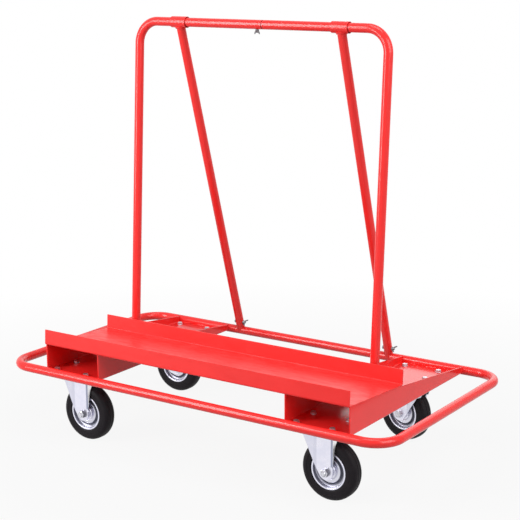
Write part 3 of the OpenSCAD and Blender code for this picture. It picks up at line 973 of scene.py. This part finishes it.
class CART_OT_uprights(Operator):
    """Bends the two halves of the upright frame"""

    bl_idname = "cart.uprights"
    bl_label = "Uprights"

    def execute(self, context):
        sizes = context.scene.cart_sizes
        radius = sizes.top_radius
        place = lean_place(sizes)
        floor_top = CHANNEL_LOW.z + sizes.sheet
        spare = 30 * MM
        lip = 1.1 * MM
        for name, side in SIDES.items():
            shape = new_shape()
            start = Matrix.Translation((sizes.post_x, 0, -spare))
            loop = ring(shape, TUBE_R, start, sizes.tube_sides)
            loop = pull(shape, loop, (0, 0, spare + sizes.frame_rise - radius))
            centre = (sizes.post_x - radius, 0, sizes.frame_rise - radius)
            loop = bend(shape, loop, centre, (0, -1, 0), math.pi / 2, 24)
            seam = side * sizes.seam + 0.25 * MM
            loop = pull(shape, loop, (seam + lip - centre[0], 0, 0))
            loop = pull(shape, loop, (-lip, 0, 0))
            middle = Vector((seam, 0, sizes.frame_rise))
            shrink = (TUBE_R - 1.3 * MM) / TUBE_R
            bmesh.ops.scale(
                shape, vec=(1, shrink, shrink), space=Matrix.Translation(-middle), verts=ends_of(loop))
            # Painted shade: the seam's V faces are marked to be darkened.
            mark(shape, 1.0, lambda face: face.calc_center_median().x < seam + lip)
            bmesh.ops.transform(shape, matrix=place, verts=shape.verts[:])
            bmesh.ops.bisect_plane(
                shape, geom=everything(shape), dist=CUT, plane_co=(0, 0, floor_top + 0.02 * MM),
                plane_no=(0, 0, 1), clear_inner=True)
            walled(shape, sizes.tube_wall)
            piece = Piece().add(shape, MIRROR_X if side < 0 else None)
            piece.settle("post_and_bar_" + name, "frame", "red_paint", "upright_" + name)
        return {"FINISHED"}


class CART_OT_braces(Operator):
    """Cuts the braces, fits their collars and welds the two together"""

    bl_idname = "cart.braces"
    bl_label = "Braces"

    def execute(self, context):
        sizes = context.scene.cart_sizes
        collar_r = (COLLAR_HIGH.z - COLLAR_LOW.z) / 2
        for name, side in SIDES.items():
            place, length = brace_line(sizes, side)
            shape = new_shape()
            loop = ring(shape, TUBE_R, Matrix.Identity(4), sizes.tube_sides)
            foot = ends_of(loop)
            loop = pull(shape, loop, (0, 0, 0.05))
            loop = pull(shape, loop, (0, 0, length - 0.1))
            head = ends_of(pull(shape, loop, (0, 0, 0.05)))
            rail_reach = TUBE_R + 0.05 * MM
            for vert in foot:
                vert.co.z = math.sqrt(max(rail_reach ** 2 - vert.co.y ** 2, 0))
            for vert in head:
                vert.co.z = length - math.sqrt(collar_r ** 2 - vert.co.y ** 2)
            walled(shape, sizes.tube_wall)
            piece = Piece().add(shape, place)
            piece.settle("brace_tube_" + name, "frame", "red_paint", "brace_" + name)
            self.collar(sizes, name, side, collar_r)
            self.weld(sizes, name, place, length, collar_r)
        return {"FINISHED"}

    @staticmethod
    def collar(sizes, name, side, collar_r):
        """A short sleeve round the top bar, with rounded rims and a chamfered bore."""
        half = (COLLAR_HIGH.x - COLLAR_LOW.x) / 2
        bore = TUBE_R + 0.25 * MM
        profile = [
            (bore, half - 2.4 * MM), (bore + 1.8 * MM, half), (collar_r, half),
            (collar_r, -half), (bore + 1.8 * MM, -half), (bore, 2.4 * MM - half)]
        rim = 0.9 * MM
        shape = turned(profile, [0.4 * MM, 0.4 * MM, rim, rim, 0.4 * MM, 0.4 * MM], 56)

        # Painted shade: the collar's mouths and bore chamfers are marked to be darkened.
        def in_mouth(face):
            spot = face.calc_center_median()
            return abs(spot.z) > half - 2.6 * MM and math.hypot(spot.x, spot.y) < collar_r - 0.5 * rim

        mark(shape, 1.0, in_mouth)
        brace_x = side * (COLLAR_LOW.x + COLLAR_HIGH.x) / 2
        spot = Matrix.Translation((brace_x, 0, sizes.frame_rise)) @ Matrix.Rotation(math.radians(90), 4, "Y")
        piece = Piece().add(shape, lean_place(sizes) @ spot)
        piece.settle("brace_sleeve_" + name, "frame", "red_paint", "brace_collar_" + name)

    @staticmethod
    def weld(sizes, name, place, length, collar_r):
        """The bead round the saddle between brace and collar."""
        reach = TUBE_R + 0.5 * MM
        count = 64
        points = []
        for index in range(count):
            angle = 2 * math.pi * index / count
            across = reach * math.sin(angle)
            height = length - math.sqrt((collar_r + 0.5 * MM) ** 2 - across ** 2)
            points.append((reach * math.cos(angle), across, height))
        piece = Piece().add(bead(points, sizes.brace_weld, True), place)
        piece.settle("brace_weld_" + name, "frame", "red_paint")


class CART_OT_welds(Operator):
    """Lays the weld beads between channels, rails and tray"""

    bl_idname = "cart.welds"
    bl_label = "Welds"

    def execute(self, context):
        sizes = context.scene.cart_sizes
        floor_top = CHANNEL_LOW.z + sizes.sheet
        low = CHANNEL_LOW.x
        high = CHANNEL_HIGH.x
        size = sizes.weld_bead
        upper_y = HALF_WIDTH - math.sqrt(TUBE_R ** 2 - (RAIL_Z - floor_top) ** 2)
        lower_y = HALF_WIDTH - math.sqrt(TUBE_R ** 2 - (RAIL_Z - CHANNEL_LOW.z) ** 2)
        seams = ((upper_y - 0.4 * MM, floor_top + 0.3 * MM), (lower_y, CHANNEL_LOW.z - 0.3 * MM))
        stitch = 34 * MM
        reach = TUBE_R + 0.4 * MM
        for name, side in SIDES.items():
            piece = Piece()
            for end in (-1, 1):
                for middle in (0.16, 0.5, 0.84):
                    x = side * (low + (high - low) * middle)
                    for y, z in seams:
                        start = (x - stitch / 2, end * y, z)
                        piece.add(bead(along(start, (x + stitch / 2, end * y, z)), size))
            for wall in (low + 0.1 * MM, high - 0.1 * MM):
                points = []
                for step in range(15):
                    angle = math.radians(200 - 5.5 * step)
                    y = HALF_WIDTH + reach * math.cos(angle)
                    points.append((side * wall, y, RAIL_Z + reach * math.sin(angle)))
                piece.add(bead(points, 0.85 * size))
            for down in (0.045, 0.13, 0.215):
                y = down * math.cos(sizes.lean) - sizes.tray_front
                z = RAIL_Z + sizes.tray_rise - down * math.sin(sizes.lean)
                fall = stitch * math.tan(sizes.lean)
                start = (side * low, y - stitch / 2, z + fall / 2 - 0.5 * MM)
                piece.add(bead(along(start, (side * low, y + stitch / 2, z - fall / 2 - 0.5 * MM)), size))
            piece.settle("channel_welds_" + name, "frame", "red_paint")
        return {"FINISHED"}


def wing_nut(size):
    """A wing nut on Z, seat at zero, wings spread along X."""
    nut = Piece()
    bore = size / 2 + 0.15 * MM
    profile = [(bore, 0), (0.9 * size, 0), (0.72 * size, 1.1 * size), (bore, 1.1 * size)]
    nut.add(turned(profile, [0.3 * MM, 0.5 * MM, 0.9 * MM, 0.3 * MM], 40))
    outline = [(0.55, 0.25), (1.2, 0.5), (1.95, 1.3), (2.1, 1.95), (1.75, 2.15), (1.3, 1.75), (0.55, 0.95)]
    radii = [part * size for part in (0, 0.5, 0.6, 0.22, 0.2, 0.5, 0)]
    for mirrored in (False, True):
        points = [(x * size, -0.17 * size, z * size) for x, z in outline]
        wing = raised(outlined(points, radii), (0, 0.34 * size, 0))
        soften(wing, 0.11 * size, 3)
        nut.add(wing, MIRROR_X if mirrored else None)
    return nut.mesh


class CART_OT_wing_fasteners(Operator):
    """Makes the wing nuts and their bolts at the top bar and the brace feet"""

    bl_idname = "cart.wing_fasteners"
    bl_label = "Wing nuts and bolts"

    def execute(self, context):
        sizes = context.scene.cart_sizes
        size = sizes.wing_thread
        seat = TUBE_R + 0.3 * MM
        reach = 2 * TUBE_R + 1.55 * size
        centre = lean_place(sizes) @ Matrix.Translation((0, 0, sizes.frame_rise))
        sunk = 5.98 * MM
        seat_in = centre @ Matrix.Translation((0, 0, -sunk))
        cap = [(0.0, 0.0), (5.8 * MM, 0.0), (5.8 * MM, 2.4 * MM), (0.0, 2.4 * MM)]
        stud = Piece()
        stud.add(turned(cap, [0, 0.4 * MM, 1.2 * MM, 0], 40), seat_in)
        stud.add(thread(size / 2, reach - TUBE_R - sunk, 0.5 * TUBE_R, 1.0 * MM), seat_in)
        stud.settle("threaded_stud_top", "frame", "dark_fastener", "splice_bolt")
        down = centre @ Matrix.Translation((0, 0, -seat))
        down = down @ Matrix.Rotation(math.pi, 4, "X") @ Matrix.Rotation(math.radians(90), 4, "Z")
        nut = Piece().add(wing_nut(size), down)
        nut.settle("wing_nut_top_bar", "wing_nut_top", "dark_fastener", "splice_wing_nut")
        for name, side in SIDES.items():
            place, length = brace_line(sizes, side)
            low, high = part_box("brace_bolt_" + name)
            spot = place.inverted() @ ((low + high) / 2)
            axis = place @ Matrix.Translation((0, 0, spot.z))
            head = axis @ Matrix.Translation((-TUBE_R - 0.05 * MM, 0, 0))
            head = head @ Matrix.Rotation(-math.pi / 2, 4, "Y")
            bolt = Piece()
            bolt.add(hexagon(FLATS * size, HEAD_HEIGHT * size), head)
            bolt.add(thread(size / 2, reach, 1.7 * TUBE_R, 1.0 * MM), head)
            bolt.settle("hex_bolt_foot_" + name, "frame", "dark_fastener", "brace_bolt_" + name)
            far = axis @ Matrix.Translation((seat, 0, 0)) @ Matrix.Rotation(math.pi / 2, 4, "Y")
            far = far @ Matrix.Rotation(sizes.wing_turn, 4, "Z")
            nut = Piece().add(wing_nut(size), far)
            nut.settle("wing_nut_foot_" + name, "wing_nut_" + name, "dark_fastener", "brace_wing_nut_" + name)
        return {"FINISHED"}


class CART_OT_caster_mounts(Operator):
    """Makes the bolts, washers and nuts that hold the casters"""

    bl_idname = "cart.caster_mounts"
    bl_label = "Caster fixings"

    def execute(self, context):
        sizes = context.scene.cart_sizes
        size = sizes.mount_thread
        floor_top = CHANNEL_LOW.z + sizes.sheet
        washer = WASHER_THICK
        head_z = floor_top + washer
        plate_low = CHANNEL_LOW.z - PLATE_THICK
        bolts = Piece()
        washers = Piece()
        nuts = Piece()
        head = hexagon(FLATS * size, HEAD_HEIGHT * size)
        shank = thread(size / 2, head_z - plate_low + size, 8 * MM, 1.5 * MM, 24)
        flat = turned(
            [(size / 2 + 0.25 * MM, 0), (size, 0), (size, washer), (size / 2 + 0.25 * MM, washer)],
            [0, 0.3 * MM, 0.6 * MM, 0], 40, 3)
        nut = hexagon(FLATS * size, NUT_HEIGHT * size, size / 2 + 0.1 * MM, True)
        for number, name in enumerate(CASTERS):
            place = plate_place(name)
            for corner, (dx, dy) in enumerate(((-1, -1), (-1, 1), (1, -1), (1, 1))):
                spot = place @ Matrix.Translation((dx * HOLE_HALF_X, dy * HOLE_HALF_Y, 0))
                turn = Matrix.Rotation(math.radians(17 + 41 * corner + 23 * number), 4, "Z")
                bolts.add(head.copy(), spot @ Matrix.Translation((0, 0, head_z)) @ turn)
                bolts.add(shank.copy(), spot @ Matrix.Translation((0, 0, head_z)))
                washers.add(flat.copy(), spot @ Matrix.Translation((0, 0, floor_top)))
                low = Matrix.Translation((0, 0, plate_low - NUT_HEIGHT * size))
                nuts.add(nut.copy(), spot @ low @ turn)
        for shape in (head, shank, flat, nut):
            shape.free()
        bolts.settle("caster_hex_bolts", "frame", "zinc_bolt", "caster_mount_bolts")
        washers.settle("caster_flat_washers", "frame", "zinc_bolt", "caster_mount_washers")
        nuts.settle("caster_hex_nuts", "frame", "zinc_bolt", "caster_mount_nuts")
        return {"FINISHED"}


def fold(flat, line, normal, angle, radius):
    """Folds a point of the flat pattern, given as across, up and depth, beyond a line."""
    across, up, depth = flat
    beyond = (across - line[0]) * normal[0] + (up - line[1]) * normal[1]
    if beyond <= 0 or angle <= 0:
        return flat
    turn = min(beyond / radius, angle)
    rest = beyond - turn * radius
    flatways = radius * math.sin(turn) + rest * math.cos(turn)
    inwards = radius * (1 - math.cos(turn)) + rest * math.sin(turn)
    slip = flatways - beyond
    return (across + slip * normal[0], up + slip * normal[1], depth + inwards)


class CART_OT_forks(Operator):
    """Presses the caster forks from sheet, with folded flanges and a round crown"""

    bl_idname = "cart.forks"
    bl_label = "Caster forks"

    def execute(self, context):
        leg = self.leg()
        crown = self.crown()
        for name in CASTERS:
            place = caster_place(name)
            piece = Piece()
            piece.add(leg.copy(), place)
            piece.add(leg.copy(), place @ MIRROR_Y)
            for shape in crown:
                piece.add(shape.copy(), place)
            piece.settle("fork_pressing_" + name, "swivel_" + name, "zinc_plate", "fork_" + name)
        leg.free()
        for shape in crown:
            shape.free()
        return {"FINISHED"}

    @staticmethod
    def leg():
        """One leg: cut flat, folded at both edges and over the top, then given its thickness."""
        lead = (-52.0, 172.7)
        eye = (28.0, 80.0)
        eye_r = 20.0
        slope = math.atan2(eye[1] - lead[1], eye[0] - lead[0])
        gap = math.hypot(eye[0] - lead[0], eye[1] - lead[1])
        aim = slope - math.asin(eye_r / gap)
        heading = (math.cos(aim), math.sin(aim))
        outward = (heading[1], -heading[0])
        base = eye[1] - eye_r

        def on_lead(height, out=0.0):
            run = (height - lead[1]) / heading[1]
            return (lead[0] + run * heading[0] + out * outward[0], height + out * outward[1])

        foot = on_lead(base)
        tail = eye[0] + eye_r
        lip = 8.5
        points = [
            (40.0, 196.0), (-43.0, 196.0), (-43.0, 174.0), on_lead(170.0), on_lead(164.0, lip),
            on_lead(141.0, lip), on_lead(135.0), foot, (tail, base), (tail, 97.0), (49.6, 108.0),
            (55.4, 143.0), (56.6, 150.0), (62.0, 163.0), (60.0, 169.5), (40.0, 174.0)]
        radii = [3, 3, 1.5, 2, 3, 3, 4, eye_r, eye_r, 6, 20, 30, 8, 3, 4, 1.5]
        shape = outlined([(x * MM, -LEG_OUT, z * MM) for x, z in points], [r * MM for r in radii], 8)
        crease_tail = 42.9
        face_line = 1.4
        top = 173.7
        cuts = [((x, 0), (1, 0)) for x in (-30, -20, -8.4, -6, -3.5, -1, 1.4, 10, 20, 30)]
        cuts += [((crease_tail + 6.3 * step / 6, 0), (1, 0)) for step in range(7)]
        cuts += [((0, z), (0, 1)) for z in (88, 91, 94, 97, 100, 103, 106, 115, 125, 135, 145, 155, 165)]
        cuts += [((0, top + 11 * step / 7), (0, 1)) for step in range(8)]
        edge = on_lead(150.0)
        for out in (-2.5, -1, 0.5, 2, 3.5):
            cuts.append(((edge[0] + out * outward[0], edge[1] + out * outward[1]), outward))
        for spot, normal in cuts:
            bmesh.ops.bisect_plane(
                shape, geom=everything(shape), dist=FINE_CUT, plane_co=(spot[0] * MM, 0, spot[1] * MM),
                plane_no=(normal[0], 0, normal[1]))
        crease = (edge[0] - 2.5 * outward[0], edge[1] - 2.5 * outward[1])
        # Painted light on the fork: the tail crease gets painted shade, the flange beyond it a painted
        # highlight, and the leading facets a little painted shade.
        tone = shape.faces.layers.float[TONE]
        for face in shape.faces:
            spot = face.calc_center_median() / MM
            if spot.z > 96 and spot.x > crease_tail:
                face[tone] = 1.0 if spot.x < crease_tail + 5.3 else -1.0
            elif spot.x < face_line:
                face[tone] = 0.18 if spot.x < -8.4 else 0.3
        lead_turn, tail_turn, face_turn, crown_turn = (math.radians(turn) for turn in (62, 72, 13, 90))
        for vert in shape.verts:
            flat = (vert.co.x / MM, vert.co.z / MM, 0.0)
            rise = max(0.0, min(1.0, (flat[1] - 88) / 18))
            rise = rise * rise * (3 - 2 * rise)
            inside = max(0.0, min(1.0, (flat[1] - 128) / 10))
            flat = fold(flat, crease, outward, lead_turn * inside, 4.5)
            flat = fold(flat, (crease_tail, 0), (1, 0), tail_turn * rise, 5.0)
            flat = fold(flat, (face_line, 0), (-1, 0), face_turn, 42.0)
            flat = fold(flat, (0, top), (0, 1), crown_turn, 7.0)
            vert.co = Vector((flat[0], flat[2] - LEG_OUT / MM, flat[1])) * MM
        shape.normal_update()
        if sum(face.normal.y * face.calc_area() for face in shape.faces) > 0:
            bmesh.ops.reverse_faces(shape, faces=shape.faces[:])
        bmesh.ops.solidify(shape, geom=shape.faces[:], thickness=4 * MM)
        bmesh.ops.remove_doubles(shape, verts=shape.verts[:], dist=MERGE)
        return soften(shape, 0.7 * MM, 2, math.radians(55))

    @staticmethod
    def crown():
        """The flat crown with its pressed ball race."""
        shape = new_shape()
        bmesh.ops.create_circle(
            shape, cap_ends=True, segments=96, radius=57 * MM, matrix=Matrix.Translation((0, 0, 175.9 * MM)))
        for side in (-1, 1):
            bmesh.ops.bisect_plane(
                shape, geom=everything(shape), dist=FINE_CUT, plane_co=(0, side * 26 * MM, 0),
                plane_no=(0, side, 0), clear_outer=True)
        raised(shape, (0, 0, 4.5 * MM))
        soften(shape, 0.9 * MM)
        profile = [(35.5, 180.0), (48.0, 180.0), (43.5, 184.6), (35.5, 184.6)]
        race = turned([(r * MM, z * MM) for r, z in profile], [0, 0.5 * MM, 1.8 * MM, 1.0 * MM], 72)
        return [shape, race]


class CART_OT_swivel_plates(Operator):
    """Makes the caster plates with their dished boss, and the kingpins"""

    bl_idname = "cart.swivel_plates"
    bl_label = "Caster plates"

    def execute(self, context):
        top = CHANNEL_LOW.z
        base = top - PLATE_THICK
        corners = ((-1, -1), (1, -1), (1, 1), (-1, 1))
        points = [(dx * PLATE_HALF_X, dy * PLATE_HALF_Y, base) for dx, dy in corners]
        plate = raised(outlined(points, [9 * MM] * 4, 8), (0, 0, PLATE_THICK))
        soften(plate, 0.8 * MM)
        boss = base - 9 * MM
        profile = [
            (6.3 * MM, boss), (29 * MM, boss), (33 * MM, boss + 6.5 * MM), (38 * MM, base + 0.3 * MM),
            (6.3 * MM, base + 0.3 * MM)]
        dish = turned(profile, [0, 2.2 * MM, 3 * MM, 0, 0], 72)
        low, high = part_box("kingpin_front_right")
        pin = [
            (0.0, low.z), (7.0 * MM, low.z), (10 * MM, low.z + 2.6 * MM), (10 * MM, low.z + 5.8 * MM),
            (6 * MM, low.z + 5.8 * MM), (6 * MM, high.z - 5 * MM), (11 * MM, high.z - 5 * MM),
            (11 * MM, high.z), (0.0, high.z)]
        rivet = turned(pin, [0, 2 * MM, 1.2 * MM, 0.5 * MM, 0, 0, 0.4 * MM, 0.8 * MM, 0], 40)
        for name in CASTERS:
            place = plate_place(name)
            piece = Piece().add(plate.copy(), place)
            piece.add(dish.copy(), place)
            piece.settle("swivel_plate_" + name, "frame", "zinc_plate", "caster_plate_" + name)
            piece = Piece().add(rivet.copy(), place)
            piece.settle("kingpin_rivet_" + name, BODY_OF["kingpin_" + name], "zinc_bolt", "kingpin_" + name)
        for shape in (plate, dish, rivet):
            shape.free()
        return {"FINISHED"}


class CART_OT_axles(Operator):
    """Makes the axle bolts and nuts"""

    bl_idname = "cart.axles"
    bl_label = "Axles"

    def execute(self, context):
        size = context.scene.cart_sizes.axle_thread
        head = hexagon(FLATS * size, HEAD_HEIGHT * size)
        shank = thread(size / 2, 2 * LEG_OUT + size, 2 * LEG_OUT - 4 * MM, 1.75 * MM)
        # The axle nuts' side flats get painted shade.
        nut = hexagon(AXLE_NUT_FLATS * size, NUT_HEIGHT * size, size / 2 + 0.1 * MM, True, side_shade=0.85)
        for name in CASTERS:
            place = axle_place(name)
            back = place @ Matrix.Translation((0, 0, -LEG_OUT)) @ Matrix.Rotation(math.pi, 4, "X")
            piece = Piece().add(head.copy(), back)
            piece.add(shank.copy(), back)
            piece.settle("axle_" + name, BODY_OF["axle_bolt_" + name], "zinc_bolt", "axle_bolt_" + name)
            front = place @ Matrix.Translation((0, 0, LEG_OUT)) @ Matrix.Rotation(math.radians(12), 4, "Z")
            piece = Piece().add(nut.copy(), front)
            piece.settle("axle_hex_nut_" + name, BODY_OF["axle_nut_" + name], "zinc_bolt", "axle_nut_" + name)
        for shape in (head, shank, nut):
            shape.free()
        return {"FINISHED"}


class CART_OT_wheels(Operator):
    """Turns the pressed rims and the solid tyres"""

    bl_idname = "cart.wheels"
    bl_label = "Wheels"

    def execute(self, context):
        rim = self.both_sides([
            (10.3, 24.0, 0.4), (15.4, 24.0, 1.2), (16.2, 13.2, 2.5), (21.5, 12.2, 2.0), (23.5, 14.4, 1.6),
            (31.5, 13.6, 3.0), (36.0, 8.4, 2.5), (43.9, 8.4, 2.2), (45.5, 18.9, 1.0), (50.0, 18.9, 1.2),
            (50.0, 17.0, 0.5), (46.0, 17.0, 0.0)])
        tyre = self.both_sides([
            (46.1, 16.9, 0.3), (50.9, 16.9, 0.2), (50.9, 20.0, 3.0), (62.0, 20.0, 0.3), (62.3, 19.5, 0.3),
            (63.3, 19.5, 0.3), (63.6, 20.0, 0.3), (80.0, 20.0, 14.0), (80.0, 5.5, 0.25), (79.0, 5.1, 0.2),
            (79.0, 4.2, 0.2), (80.0, 3.8, 0.25)])
        for name in CASTERS:
            place = axle_place(name)
            piece = Piece().add(rim.copy(), place)
            piece.settle("rim_pressing_" + name, "wheel_" + name, "rim_steel", "rim_" + name)
            piece = Piece().add(tyre.copy(), place)
            piece.settle("tyre_moulding_" + name, "wheel_" + name, "tyre_rubber", "tyre_" + name)
        rim.free()
        tyre.free()
        return {"FINISHED"}

    @staticmethod
    def both_sides(half):
        """Turns a half profile of radius, offset and corner radius with its mirror image."""
        whole = half + [(radius, -offset, corner) for radius, offset, corner in reversed(half)]
        profile = [(radius * MM, offset * MM) for radius, offset, corner in whole]
        return turned(profile, [corner * MM for radius, offset, corner in whole], 96, 6)


class CART_OT_hidden_solids(Operator):
    """Gives the solids that stay in view their finishes"""

    bl_idname = "cart.hidden_solids"
    bl_label = "Sockets, pegs and spacers"

    def execute(self, context):
        for name in SIDES:
            keep_node("post_socket_" + name, "red_paint")
            keep_node("brace_peg_" + name, "red_paint")
        keep_node("splice_sleeve", "zinc_bolt")
        for name in CASTERS:
            keep_node("axle_spacer_" + name, "zinc_bolt")
        return {"FINISHED"}


class CART_OT_stage(Operator):
    """Sets the floor, the soft light and the camera"""

    bl_idname = "cart.stage"
    bl_label = "Stage"

    def execute(self, context):
        scene = context.scene
        stage = scene.cart_stage
        scene.view_settings.view_transform = "Standard"
        self.camera(scene, stage)
        self.floor(scene, stage)
        self.world(scene, stage)
        for name, place, width, height, setting in SOFTBOXES:
            self.softbox(scene, name, place, width, height, getattr(stage, setting))
        return {"FINISHED"}

    @staticmethod
    def camera(scene, stage):
        yaw = stage.camera_yaw
        pitch = stage.camera_pitch
        ahead = Vector((-math.sin(yaw) * math.cos(pitch), math.cos(yaw) * math.cos(pitch), -math.sin(pitch)))
        right = Vector((math.cos(yaw), math.sin(yaw), 0))
        up = right.cross(ahead)
        across = math.cos(stage.camera_roll) * right + math.sin(stage.camera_roll) * up
        along_up = math.cos(stage.camera_roll) * up - math.sin(stage.camera_roll) * right
        data = bpy.data.cameras.new("studio_camera")
        data.lens = stage.lens
        data.sensor_width = 36
        data.clip_end = 200
        camera = bpy.data.objects.new("studio_camera", data)
        turn = Matrix((across, along_up, -ahead)).transposed().to_4x4()
        camera.matrix_world = Matrix.Translation(stage.camera_place) @ turn
        scene.collection.objects.link(camera)
        scene.camera = camera

    @staticmethod
    def seen(finish):
        """One for the camera and for rays off metal and paint, nought for rays that light the object."""
        kinds = ("Is Camera Ray", "Is Glossy Ray", "Is Transmission Ray")
        path = [finish.node("ShaderNodeLightPath", {}, {}, kind) for kind in kinds]
        return finish.span(path[0] + path[1] + path[2], 0.0, 1.0)

    def floor(self, scene, stage):
        shape = bmesh.new()
        bmesh.ops.create_grid(shape, x_segments=2, y_segments=2, size=FLOOR_HALF)
        data = bpy.data.meshes.new("studio_floor")
        shape.to_mesh(data)
        shape.free()
        floor = bpy.data.objects.new("studio_floor", data)
        scene.collection.objects.link(floor)
        finish = Finish(bpy.data.materials.new("pale_floor"))
        matt = finish.node(
            "ShaderNodeBsdfDiffuse", {}, {"Color": solid(scene.cart_colours.floor)}, "BSDF")
        white = {"Color": (1, 1, 1, 1), "Strength": stage.backdrop}
        glow = finish.node("ShaderNodeEmission", {}, white, "Emission")
        place = finish.object_place()
        away = finish.node("ShaderNodeVectorMath", {"operation": "LENGTH"}, {0: place}, "Value")
        near = 1 - finish.span(away, SHADOW_NEAR, SHADOW_FAR)
        share = self.seen(finish) * (1 - near * stage.shadow_hold)
        mixed = finish.node("ShaderNodeMixShader", {}, {0: share, 1: matt, 2: glow}, "Shader")
        finish.node("ShaderNodeOutputMaterial", {}, {"Surface": mixed})
        data.materials.append(finish.owner)

    def world(self, scene, stage):
        finish = Finish(bpy.data.worlds.new("studio_world"))
        strength = self.seen(finish) * (1 - stage.ambient) + stage.ambient
        white = {"Color": (1, 1, 1, 1), "Strength": strength}
        light = finish.node("ShaderNodeBackground", {}, white, "Background")
        finish.node("ShaderNodeOutputWorld", {}, {"Surface": light})
        scene.world = finish.owner

    @staticmethod
    def softbox(scene, name, place, width, height, power):
        data = bpy.data.lights.new(name, "AREA")
        data.shape = "RECTANGLE"
        data.size = width
        data.size_y = height
        data.energy = power
        light = bpy.data.objects.new(name, data)
        light.location = place
        light.visible_camera = False
        aim = LAMP_AIM - Vector(place)
        light.rotation_mode = "QUATERNION"
        light.rotation_quaternion = aim.to_track_quat("-Z", "Y")
        scene.collection.objects.link(light)


BODY_OF = {}
for body, members in (frame["record"].get("behaviour") or {}).get("bodies", {}).items():
    for member in members:
        BODY_OF[member] = body

STEPS = (
    CART_OT_stage, CART_OT_bumper_loop, CART_OT_channels, CART_OT_tray, CART_OT_uprights, CART_OT_braces,
    CART_OT_welds, CART_OT_wing_fasteners, CART_OT_caster_mounts, CART_OT_swivel_plates, CART_OT_forks,
    CART_OT_axles, CART_OT_wheels, CART_OT_hidden_solids)


class CART_PT_pieces(Panel):
    """The cart's pieces, sizes and colours"""

    bl_idname = "CART_PT_pieces"
    bl_label = "Drywall cart"
    bl_space_type = "VIEW_3D"
    bl_region_type = "UI"
    bl_category = "Cart"

    def draw(self, context):
        column = self.layout.column()
        for step in STEPS:
            column.operator(step.bl_idname)
        for group in (context.scene.cart_sizes, context.scene.cart_colours, context.scene.cart_stage):
            box = self.layout.box()
            for name in group.__annotations__:
                box.prop(group, name)


CLASSES = (CartSizes, CartColours, CartStage, *STEPS, CART_PT_pieces)


def register():
    for item in CLASSES:
        bpy.utils.register_class(item)
    bpy.types.Scene.cart_sizes = PointerProperty(type=CartSizes)
    bpy.types.Scene.cart_colours = PointerProperty(type=CartColours)
    bpy.types.Scene.cart_stage = PointerProperty(type=CartStage)


def unregister():
    del bpy.types.Scene.cart_stage
    del bpy.types.Scene.cart_colours
    del bpy.types.Scene.cart_sizes
    for item in reversed(CLASSES):
        bpy.utils.unregister_class(item)


def main():
    register()
    for step in STEPS:
        group, name = step.bl_idname.split(".")
        getattr(getattr(bpy.ops, group), name)()


if __name__ == "__main__":
    main()
